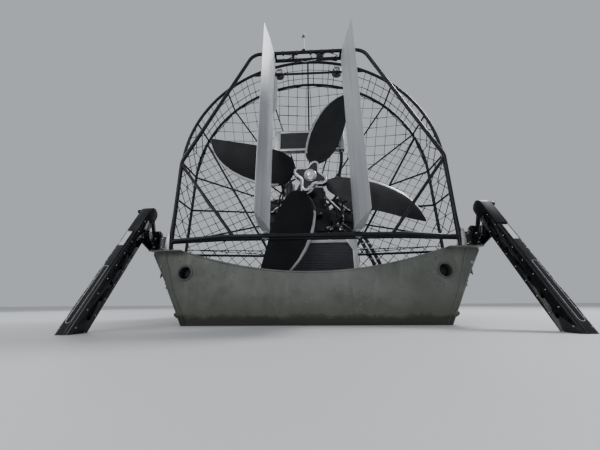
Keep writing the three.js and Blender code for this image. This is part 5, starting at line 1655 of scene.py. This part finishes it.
def seat_tower():
    half = TOWER_HALF
    pieces = []
    for side in (-1, 1):
        for a, b, radius in (
            ((1.760, DECK_TOP + 0.002), (1.860, 1.340), 0.019),
            ((2.420, DECK_TOP + 0.002), (2.300, 1.340), 0.019), ((1.860, 1.340), (2.300, 1.340), 0.019),
            ((1.790, 0.460), (2.390, 0.460), 0.016), ((2.393, 0.440), (1.868, 1.300), 0.014),
            ((2.330, 1.040), (2.640, 0.960), 0.016), ((2.640, 0.960), (2.378, 0.560), 0.014),
        ):
            pieces.append(rod(at(side * half, *a), at(side * half, *b), radius))
        for y in TOWER_FEET_Y:
            low = at(side * half - 0.05, y - 0.045, DECK_TOP)
            pieces.append(block(low, low + Vector((0.10, 0.09, 0.008)), 0.002))
    for y, z in (
        (1.860, 1.340), (2.300, 1.340), (2.330, 1.040), (2.640, 0.960), (1.790, 0.460), (2.390, 0.460),
    ):
        pieces.append(rod(at(-half, y, z), at(half, y, z), 0.014))
    pieces.append(block(at(-0.230, 1.850, 1.348), at(0.230, 2.310, 1.362), 0.003))
    shown(pieces, "seat_tower_tubes", PAINT, ["driver_seat_tower"])
    step = block(at(-half, 2.420, 0.968), at(half, 2.650, 0.978), 0.003)
    shown(step, "foot_step", DECK)
    bolts = [
        at(side * half + dx, y + dy, DECK_TOP + 0.008)
        for side in (-1, 1) for y in TOWER_FEET_Y for dx in (-0.036, 0.036) for dy in (-0.03, 0.03)
    ]
    shown(heads(bolts, Z_AXIS, 0.009, 0.007, 6), "seat_tower_bolts", SATIN)


# Sewn channels, as shares of a cushion's width, and their half width and depth
SEAT_SEAMS = (0.25, 0.5, 0.75)
BENCH_SEAMS = (0.167, 0.333, 0.5, 0.667, 0.833)
SEAM_HALF, SEAM_DEPTH = 0.018, 0.007
CUSHION_PRESSURE, CUSHION_FRAMES = 4, 20


def stuffed(name, x0, x1, outline, node, voxel, cap, channels):
    """Cushion: a soft-edged form, swollen by cloth pressure, with sewn channels pressed in afterwards."""
    pad = slab([at(x0, y, z) for y, z in outline], (x1 - x0, 0, 0), 0.022, 3)
    pick(pad)
    pad.data.remesh_voxel_size = voxel
    bpy.ops.object.voxel_remesh()
    rest = [v.co.copy() for v in pad.data.vertices]
    bpy.ops.object.modifier_add(type="CLOTH")
    cloth = pad.modifiers[-1]
    cloth.settings.use_pressure = True
    cloth.settings.uniform_pressure_force = CUSHION_PRESSURE
    cloth.settings.effector_weights.gravity = 0
    for number in range(1, CUSHION_FRAMES + 1):
        bpy.context.scene.frame_set(number)
    bpy.ops.object.modifier_apply(modifier=cloth.name)
    bpy.context.scene.frame_set(1)
    low = Vector(min(p[k] for p in rest) for k in range(3))
    high = Vector(max(p[k] for p in rest) for k in range(3))
    for vertex, start in zip(pad.data.vertices, rest):
        move = vertex.co - start
        if move.length > cap:
            vertex.co = start + move * (cap / move.length)
        place = (start.x - x0) / (x1 - x0)
        nearest = min(abs(place - c) for c in channels) * (x1 - x0)
        if nearest < SEAM_HALF:
            depth = SEAM_DEPTH * math.cos(nearest / SEAM_HALF * math.pi / 2) ** 2
            middle = (low + high) / 2
            pull = Vector((0, middle.y - start.y, middle.z - start.z))
            vertex.co += pull.normalized() * depth
    for vertex in pad.data.vertices:
        vertex.co.z = max(vertex.co.z, low.z)
    pick(pad)
    bpy.ops.object.shade_smooth()
    shown(pad, name, VINYL, [node])


def seats():
    rounded_node("driver_seat_shell", "seat_shell", PLASTIC, 0.006, 3)
    stuffed("seat_cushion", -0.225, 0.225, (
        (1.915, 1.382), (2.300, 1.382), (2.322, 1.420), (2.308, 1.462), (1.915, 1.452),
    ), "driver_seat_cushion", 0.006, 0.014, SEAT_SEAMS)
    stuffed("seat_back_pad", -0.220, 0.220, (
        (1.891, 1.480), (1.878, 1.700), (1.828, 2.045), (1.806, 2.045), (1.808, 2.000), (1.862, 1.480),
    ), "driver_seat_back", 0.006, 0.012, SEAT_SEAMS)
    bench_frame()
    stuffed("bench_cushion", -0.612, 0.612, (
        (2.838, 0.484), (3.228, 0.484), (3.242, 0.524), (3.228, 0.566), (2.838, 0.558),
    ), "passenger_bench_cushion", 0.009, 0.014, BENCH_SEAMS)
    stuffed("bench_back_pad", -0.612, 0.612, (
        (2.776, 0.508), (2.820, 0.508), (2.820, 0.825), (2.800, 0.920), (2.776, 0.920),
    ), "passenger_bench_back", 0.009, 0.008, BENCH_SEAMS)


def bench_frame():
    half, y0, y1, z = 0.620, 2.760, 3.240, 0.480
    pieces = [
        block(at(-half, y0, z - 0.012), at(half, y1, z), 0.003),
        block(at(-half, y0, z - 0.020), at(half, y0 + 0.010, 0.900), 0.003),
    ]
    for x in (-0.600, 0, 0.600):
        pieces.append(rod(at(x, y0 + 0.020, DECK_TOP), at(x, y0 + 0.020, z), 0.016))
        pieces.append(rod(at(x, y1 - 0.020, DECK_TOP), at(x, y1 - 0.020, z), 0.016))
        pieces.append(rod(at(x, y0 + 0.020, 0.240), at(x, y1 - 0.020, 0.240), 0.012))
    shown(pieces, "bench_frame_tubes", HULL, ["passenger_bench_frame"])


def controls():
    x = -0.390
    stick = tube(filleted([at(x, 2.180, 1.300), at(x, 2.220, 1.500), at(x, 2.240, 1.740)], 0.1), 0.013)
    mount = block(at(-0.402, 2.150, 1.318), at(-0.350, 2.210, 1.362), 0.004)
    shown([stick, mount], "steering_stick_bar", SATIN, ["steering_stick"])
    ridges = [(0, 0.0)]
    for k in range(9):
        ridges += [(0.0200, 0.004 + 0.016 * k), (0.0200, 0.013 + 0.016 * k), (0.0180, 0.016 + 0.016 * k)]
    ridges += [(0.0200, 0.150), (0, 0.152)]
    grip = turned(ridges, at(x, 2.240, 1.729), (0, 0.012, 0.150), 24)
    shown(grip, "stick_grip", HOSE)
    pod = [
        rod(at(0.345, 2.290, 1.345), at(0.345, 2.410, 1.610), 0.012),
        block(at(0.245, 2.395, 1.590), at(0.445, 2.450, 1.700), 0.012, 3),
    ]
    shown(pod, "gauge_pod", PLASTIC)
    for part, finish, profile in (
        (
            "bezels", POLISHED,
            [(0.021, -0.004), (0.026, -0.004), (0.027, 0.001), (0.021, 0.001), (0.021, -0.004)],
        ),
        ("dials", PALE, [(0, -0.0012), (0.0212, -0.0012), (0.0212, 0.001), (0, 0.001)]),
    ):
        gauges = [turned(profile, at(dx, 2.3945, 1.648), Y_AXIS, 28) for dx in (0.285, 0.345, 0.405)]
        shown(gauges, f"gauge_{part}", finish)
    rounded_node("throttle_pedal", "pedal_plate", SATIN, 0.003)


def hold_down(x, width, ends, heights):
    """A strap up one end of a box, over it and down the other."""
    (y0, y1), (z0, z1) = ends, heights
    return rounded_band([at(x, y0, z0), at(x, y0, z1), at(x, y1, z1), at(x, y1, z0)], (width, 0, 0), 0.003)


def tank_and_battery():
    rounded_node("fuel_tank", "fuel_tank_shell", HULL, 0.012, 3)
    cap = turned(
        [
            (0, 0.575), (0.030, 0.575), (0.040, 0.570), (0.043, 0.564), (0.043, 0.552), (0.036, 0.550),
            (0, 0.550),
        ],
        at(0.150, 1.980, 0), Z_AXIS, 28,
    )
    shown(cap, "fuel_cap", PLASTIC)
    rounded_node("battery_box", "battery_case", PLASTIC, 0.010, 3)
    shown(hold_down(0.715, 0.030, (1.185, 1.575), (0.110, 0.343)), "battery_strap", HOSE)
    straps = [hold_down(x, 0.035, (1.872, 2.308), (0.108, 0.555)) for x in (-0.200, 0.165)]
    shown(straps, "fuel_tank_straps", SATIN)
    lines = []
    for radius, *steps in (
        (
            0.008, (-0.080, 1.950, 0.552), (-0.080, 1.900, 0.640), (-0.200, 1.660, 0.900),
            (-0.170, 1.560, 1.180), (-0.060, 1.440, 1.440),
        ),
        (0.007, (0.040, 1.950, 0.552), (0.040, 1.880, 0.620), (0.230, 1.650, 0.880), (0.235, 1.400, 0.980)),
        (
            0.009, (0.640, 1.240, 0.338), (0.640, 1.200, 0.400), (0.500, 1.120, 0.300),
            (0.380, 1.150, 0.700), (0.240, 1.150, 0.960),
        ),
        (
            0.009, (0.820, 1.240, 0.338), (0.820, 1.150, 0.390), (0.600, 1.020, 0.200),
            (-0.330, 1.000, 0.300), (-0.260, 1.050, 0.980),
        ),
    ):
        lines.append(tube(filleted([at(*p) for p in steps], 0.09), radius, roundness=2))
    shown(lines, "fuel_lines_and_cables", HOSE)


def lights():
    for name, side in SIDES:
        x, z = side * 0.310, LAMP_BAR_Z + LAMP_LIFT
        place = at(x, 0.1673, z)
        case = turned(
            [
                (0, 0.070), (0.046, 0.070), (0.052, 0.066), (0.052, 0.052), (0.047, 0.046), (0.047, 0.020),
                (0.034, 0.002), (0, 0.0),
            ],
            place, Y_AXIS, 36,
        )
        foot = block(at(x - 0.015, 0.1613, LAMP_BAR_Z - 0.012), at(x + 0.015, 0.1733, z - 0.030), 0.002)
        node = f"work_light_{name}"
        shown([case, foot], f"{node}_case", PLASTIC, [node])
        back = turned([(0, -0.0012), (0.028, -0.0008), (0.033, 0.0016), (0, 0.0016)], place, Y_AXIS, 28)
        shown(back, f"{node}_back", SATIN)
        lens = turned(
            [(0, 0.0665), (0.043, 0.0665), (0.043, 0.0705), (0.030, 0.0712), (0, 0.0716)], place, Y_AXIS,
            36,
        )
        shown(lens, f"{node}_lens", GLASS)
    pole = turned(
        [
            (0, 2.655), (0.020, 2.655), (0.020, 2.664), (0.010, 2.670), (0.0085, 2.838), (0.015, 2.842),
            (0.015, 2.862), (0.011, 2.864), (0.011, 2.876), (0.018, 2.878), (0.018, 2.896), (0.014, 2.903),
            (0, 2.905),
        ],
        Vector((-0.040, FRAME_Y, 0)), Z_AXIS, 24,
    )
    for polygon in pole.data.polygons:
        polygon.material_index = 1 if 2.838 < polygon.center.z < 2.862 or polygon.center.z < 2.667 else 0
    shown(pole, "anchor_light_pole", [PALE, PLASTIC], ["anchor_light"])


def bow_rail():
    half, y, z, top = 0.700, 4.700, 0.627, 0.870
    corners = [at(-half, y, z), at(-half, y, top), at(half, y, top), at(half, y, z)]
    pieces = [tube(filleted(corners, 0.08, 8), 0.016)]
    foot = [(0.0, 0.0), (0.042, 0.0), (0.042, 0.005), (0.020, 0.012), (0.0, 0.012)]
    pieces += [turned(foot, at(side * half, y, z + 0.0005), Z_AXIS, 28) for side in (-1, 1)]
    shown(pieces, "bow_rail_tube", POLISHED, ["bow_grab_rail"])


# Folding anchors

def pole_point(x, s, d):
    """s along the pole from the elbow, d across it."""
    along = (-math.sin(POLE_SLOPE), -math.cos(POLE_SLOPE))
    across = (along[1], -along[0])
    return Vector((x, ELBOW[0] + s * along[0] + d * across[0], ELBOW[1] + s * along[1] + d * across[1]))


def pole_slab(x0, x1, outline, bevel=0.0, segments=2):
    """A flat piece whose outline is given along and across the pole."""
    return slab([pole_point(x0, s, d) for s, d in outline], (x1 - x0, 0, 0), bevel, segments)


# Caps' distance from the arm's middle, and radii of the head's cheeks and cover
CAP_REACH = 0.0285
CHEEK_R, COVER_R = 0.048, 0.0505


def anchor_bracket(name, side):
    node = f"anchor_bracket_{name}"
    rounded_node(node, f"{node}_plates", GLOSS, 0.003)
    bolts = heads([at(side * 1.128, y, 0.647) for y in (-0.038, 0.035, 0.108)], Z_AXIS, 0.008, 0.006, 6)
    places = [at(side * x, -0.030, z) for x in (1.148, 1.208) for z in (0.662, 0.730)]
    shown([bolts, heads(places, -Y_AXIS, 0.007, 0.005, 6)], f"{node}_bolts", SATIN)
    corners = ((1.079, 0.6355), (1.1185, 0.6355), (1.1185, 0.760), (1.096, 0.772))
    plate = slab([at(side * x, -0.047, z) for x, z in corners], (0, 0.010, 0), 0.002)
    corners = ((-0.037, 0.6475), (0.100, 0.6475), (0.020, 0.740), (-0.037, 0.755))
    wing = slab([at(side * 1.114, y, z) for y, z in corners], (side * 0.0045, 0, 0), 0.001)
    shown([plate, wing], f"anchor_backing_plate_{name}", SATIN)


def anchor_links(name, side):
    """The arm with its pins' caps at the elbow, and the tie."""
    arm, tie = f"anchor_arm_{name}", f"anchor_tie_{name}"
    rounded_node(arm, f"{arm}_links", GLOSS, 0.003, body=arm)
    profile = [(0, 0.004), (0.011, 0.004), (0.013, 0.001), (0.013, -0.001), (0, -0.001)]
    caps = [
        turned(profile, (side * (ARM_X + way * CAP_REACH), *ELBOW), (side * way, 0, 0), 20)
        for way in (-1, 1)
    ]
    shown(caps, f"{arm}_caps", SATIN, body=arm)
    rounded_node(tie, f"{tie}_rod", GLOSS, 0.0012, body=tie)


def anchor_pole(name, side):
    """Channel and inner arm with its ridges, covered head, rivets, blank label and bead."""
    pole = f"anchor_pole_{name}"

    def plate(x0, x1, s0, s1, d0, d1, bevel=0.0, segments=2):
        outline = ((s0, d0), (s1, d0), (s1, d1), (s0, d1))
        return pole_slab(side * x0, side * x1, outline, bevel, segments)

    def ridge(x, s0, s1, d, radius):
        return rod(pole_point(side * x, s0, d), pole_point(side * x, s1, d), radius)

    rounded_node(pole, f"{pole}_channel", RUBBED, 0.005, 3, body=pole)
    inner = plate(1.2515, 1.3005, 0.112, 0.898, -0.034, 0.040, 0.006, 3)
    ribs = [ridge(x, 0.125, 0.885, 0.040, 0.0045) for x in (1.268, 1.286)]
    face = plate(1.2400, 1.3120, 0.215, 0.986, 0.0440, 0.0485, 0.0015)
    ribs += [ridge(x, 0.222, 0.976, 0.0475, radius) for x, radius in ((1.2445, 0.0040), (1.2620, 0.0070))]
    shown([inner, *ribs, face], f"{pole}_inner_arm", RUBBED, body=pole)
    turns = [math.pi * k / 20 for k in range(21)]
    cheek = [(0.084, -CHEEK_R), (0.084, CHEEK_R)]
    cheek += [(-CHEEK_R * math.sin(a), CHEEK_R * math.cos(a)) for a in turns]
    head = [pole_slab(side * x, side * (x + 0.0045), cheek, 0.0015) for x in (1.238, 1.3095)]
    turns = [0.2 * k for k in range(8)]
    rim = [
        (0.212, 0.0490), (0.060, 0.0500), *((-COVER_R * math.sin(a), COVER_R * math.cos(a)) for a in turns),
    ]
    cover = band([pole_point(side * 1.238, s, d) for s, d in rim], (side * 0.076, 0, 0), 0.004, offset=side)
    rounded_edges(cover, 0.0015)
    shown([*head, smoothed(cover, 50)], f"{pole}_head", SATIN_BLACK, body=pole)
    across = pole_point(0, 0, 1) - pole_point(0, 0, 0)
    dots = [pole_point(side * 1.3065, 0.235 + 0.048 * k, 0.0480) for k in range(15)]
    rivets = [heads(dots, across, 0.0032, 0.0022, 6)]
    for x, way in ((1.2382, -1), (1.3138, 1)):
        places = [pole_point(side * x, 0.115 + 0.098 * k, d) for k in range(9) for d in (-0.034, 0.034)]
        rivets.append(heads(places, (side * way, 0, 0), 0.0042, 0.0028, 8))
    shown(rivets, f"{pole}_rivets", SATIN, body=pole)
    label = plate(1.2700, 1.3045, 0.228, 0.352, 0.0483, 0.0491)
    shown(label, f"{pole}_label", FILM, body=pole)
    corners = (
        (0.52, 1.2875), (0.52, 1.3020), (0.88, 1.3020), (0.88, 1.2730), (0.52, 1.2730), (0.52, 1.2875),
    )
    pad = filleted([(x, s, 0) for s, x in corners], 0.014, 8)
    ring = tube([pole_point(side * p.x, p.y, 0.0487) for p in pad[:-1]], 0.0014, closed=True, roundness=1)
    shown(ring, f"{pole}_bead", SATIN, body=pole)


def top_wiring():
    """Cables tied along the twin top bars, with their clips."""
    y, z = FRAME_Y, FRAME_TOP_Z
    runs = (
        (
            0.0045, PALE, (-0.300, 0.012, 0.018), (-0.160, 0.050, 0.030), (-0.040, 0.085, -0.022),
            (0.090, 0.060, -0.028), (0.190, 0.020, 0.019), (0.300, 0.060, 0.020),
        ),
        (
            0.0055, HOSE, (-0.300, 0.100, 0.008), (-0.180, 0.040, -0.022), (-0.060, -0.004, 0.022),
            (0.070, 0.030, 0.022), (0.160, 0.090, 0.018), (0.300, 0.100, -0.010),
        ),
        (
            0.0040, HOSE, (-0.040, 0.0, 0.026), (0.010, 0.024, 0.030), (0.060, 0.080, -0.020),
            (0.210, 0.075, -0.025), (0.300, 0.030, -0.022),
        ),
    )
    for k, (radius, finish, *steps) in enumerate(runs):
        line = filleted([(x, y + dy, z + dz) for x, dy, dz in steps], 0.05)
        shown(tube(line, radius, roundness=2), f"top_cable_{k + 1}", finish)
    clips = []
    for x in (-0.250, -0.110, 0.030, 0.135, 0.250):
        for bar in (FRAME_Y, SECOND_BAR_Y):
            clips.append(turned(
                [(0.0162, -0.006), (0.0190, -0.006), (0.0190, 0.006), (0.0162, 0.006), (0.0162, -0.006)],
                (x, bar, FRAME_TOP_Z), X_AXIS, 24,
            ))
        clips.append(
            block((x - 0.009, FRAME_Y + 0.010, z + 0.012), (x + 0.009, FRAME_Y + 0.040, z + 0.028), 0.002)
        )
    clips.append(block((0.085, FRAME_Y + 0.014, z - 0.036), (0.150, FRAME_Y + 0.062, z - 0.004), 0.005))
    shown(clips, "top_cable_clips", HOSE)


def studio():
    deselect()
    bpy.ops.mesh.primitive_plane_add(size=160, location=(0, 0, WATERLINE))
    floor = bpy.context.object
    floor.name = "studio_floor"
    floor.data.materials.append(studio_floor())
    world = bpy.data.worlds.new("studio")
    bpy.context.scene.world = world
    world.use_nodes = True
    background = world.node_tree.nodes["Background"]
    background.inputs["Color"].default_value = (0.80, 0.84, 0.90, 1)
    background.inputs["Strength"].default_value = 0.55
    for name, place, aim, size, watts in (
        ("key", (5.5, -1.0, 7.5), (0, -2.3, 1.0), 2.0, 650),
        ("stern_fill", (-3.5, -9.0, 4.5), (0, -2.7, 0.9), 5.0, 150),
        ("side_fill", (-7.0, 1.0, 4.0), (0, -1.0, 1.0), 5.0, 120),
        ("bow_fill", (2.0, 9.0, 5.0), (0, 0, 1.0), 5.0, 160),
    ):
        light = bpy.data.lights.new(name, "AREA")
        light.size = size
        light.energy = watts
        lamp = bpy.data.objects.new(name, light)
        lamp.location = place
        lamp.rotation_euler = (Vector(aim) - Vector(place)).to_track_quat("-Z", "Y").to_euler()
        bpy.context.scene.collection.objects.link(lamp)


# Millimetres, metres and degrees
SENSOR_WIDTH, LENS = 36, 14.64
CAMERA_PLACE = (-0.018, STERN - 1.81, 0.24)
CAMERA_PAN, CAMERA_TILT, CAMERA_ROLL = 2.3, 18, -0.4


def camera_astern():
    """Close behind the stern, a hand's length over the waterline, looking up a little."""
    data = bpy.data.cameras.new("camera_astern")
    data.sensor_width = SENSOR_WIDTH
    data.lens = LENS
    camera = bpy.data.objects.new("camera_astern", data)
    bpy.context.scene.collection.objects.link(camera)
    pan, tilt, roll = (
        Matrix.Rotation(math.radians(angle), 4, axis)
        for angle, axis in ((CAMERA_PAN, "Z"), (90 + CAMERA_TILT, "X"), (CAMERA_ROLL, "Z"))
    )
    camera.matrix_world = Matrix.Translation(CAMERA_PLACE) @ pan @ tilt @ roll
    bpy.context.scene.camera = camera


hull()
hull_fittings()
for side_name, side_sign in SIDES:
    drain(side_name, side_sign * DRAIN_X)
rudder_frame()
aft_hoop()
front_cage()
wire_screen()
for side_name, side_sign in SIDES:
    rudder(side_name, side_sign)
rudder_tabs()
propeller()
hub()
gearbox()
engine()
engine_mounting()
engine_tins()
intake()
belt_drive()
exhausts()
engine_stand()
coolers()
seat_tower()
seats()
controls()
tank_and_battery()
lights()
bow_rail()
for side_name, side_sign in SIDES:
    anchor_bracket(side_name, side_sign)
    anchor_links(side_name, side_sign)
    anchor_pole(side_name, side_sign)
top_wiring()
dress(SATIN, "steering_link")
studio()
camera_astern()
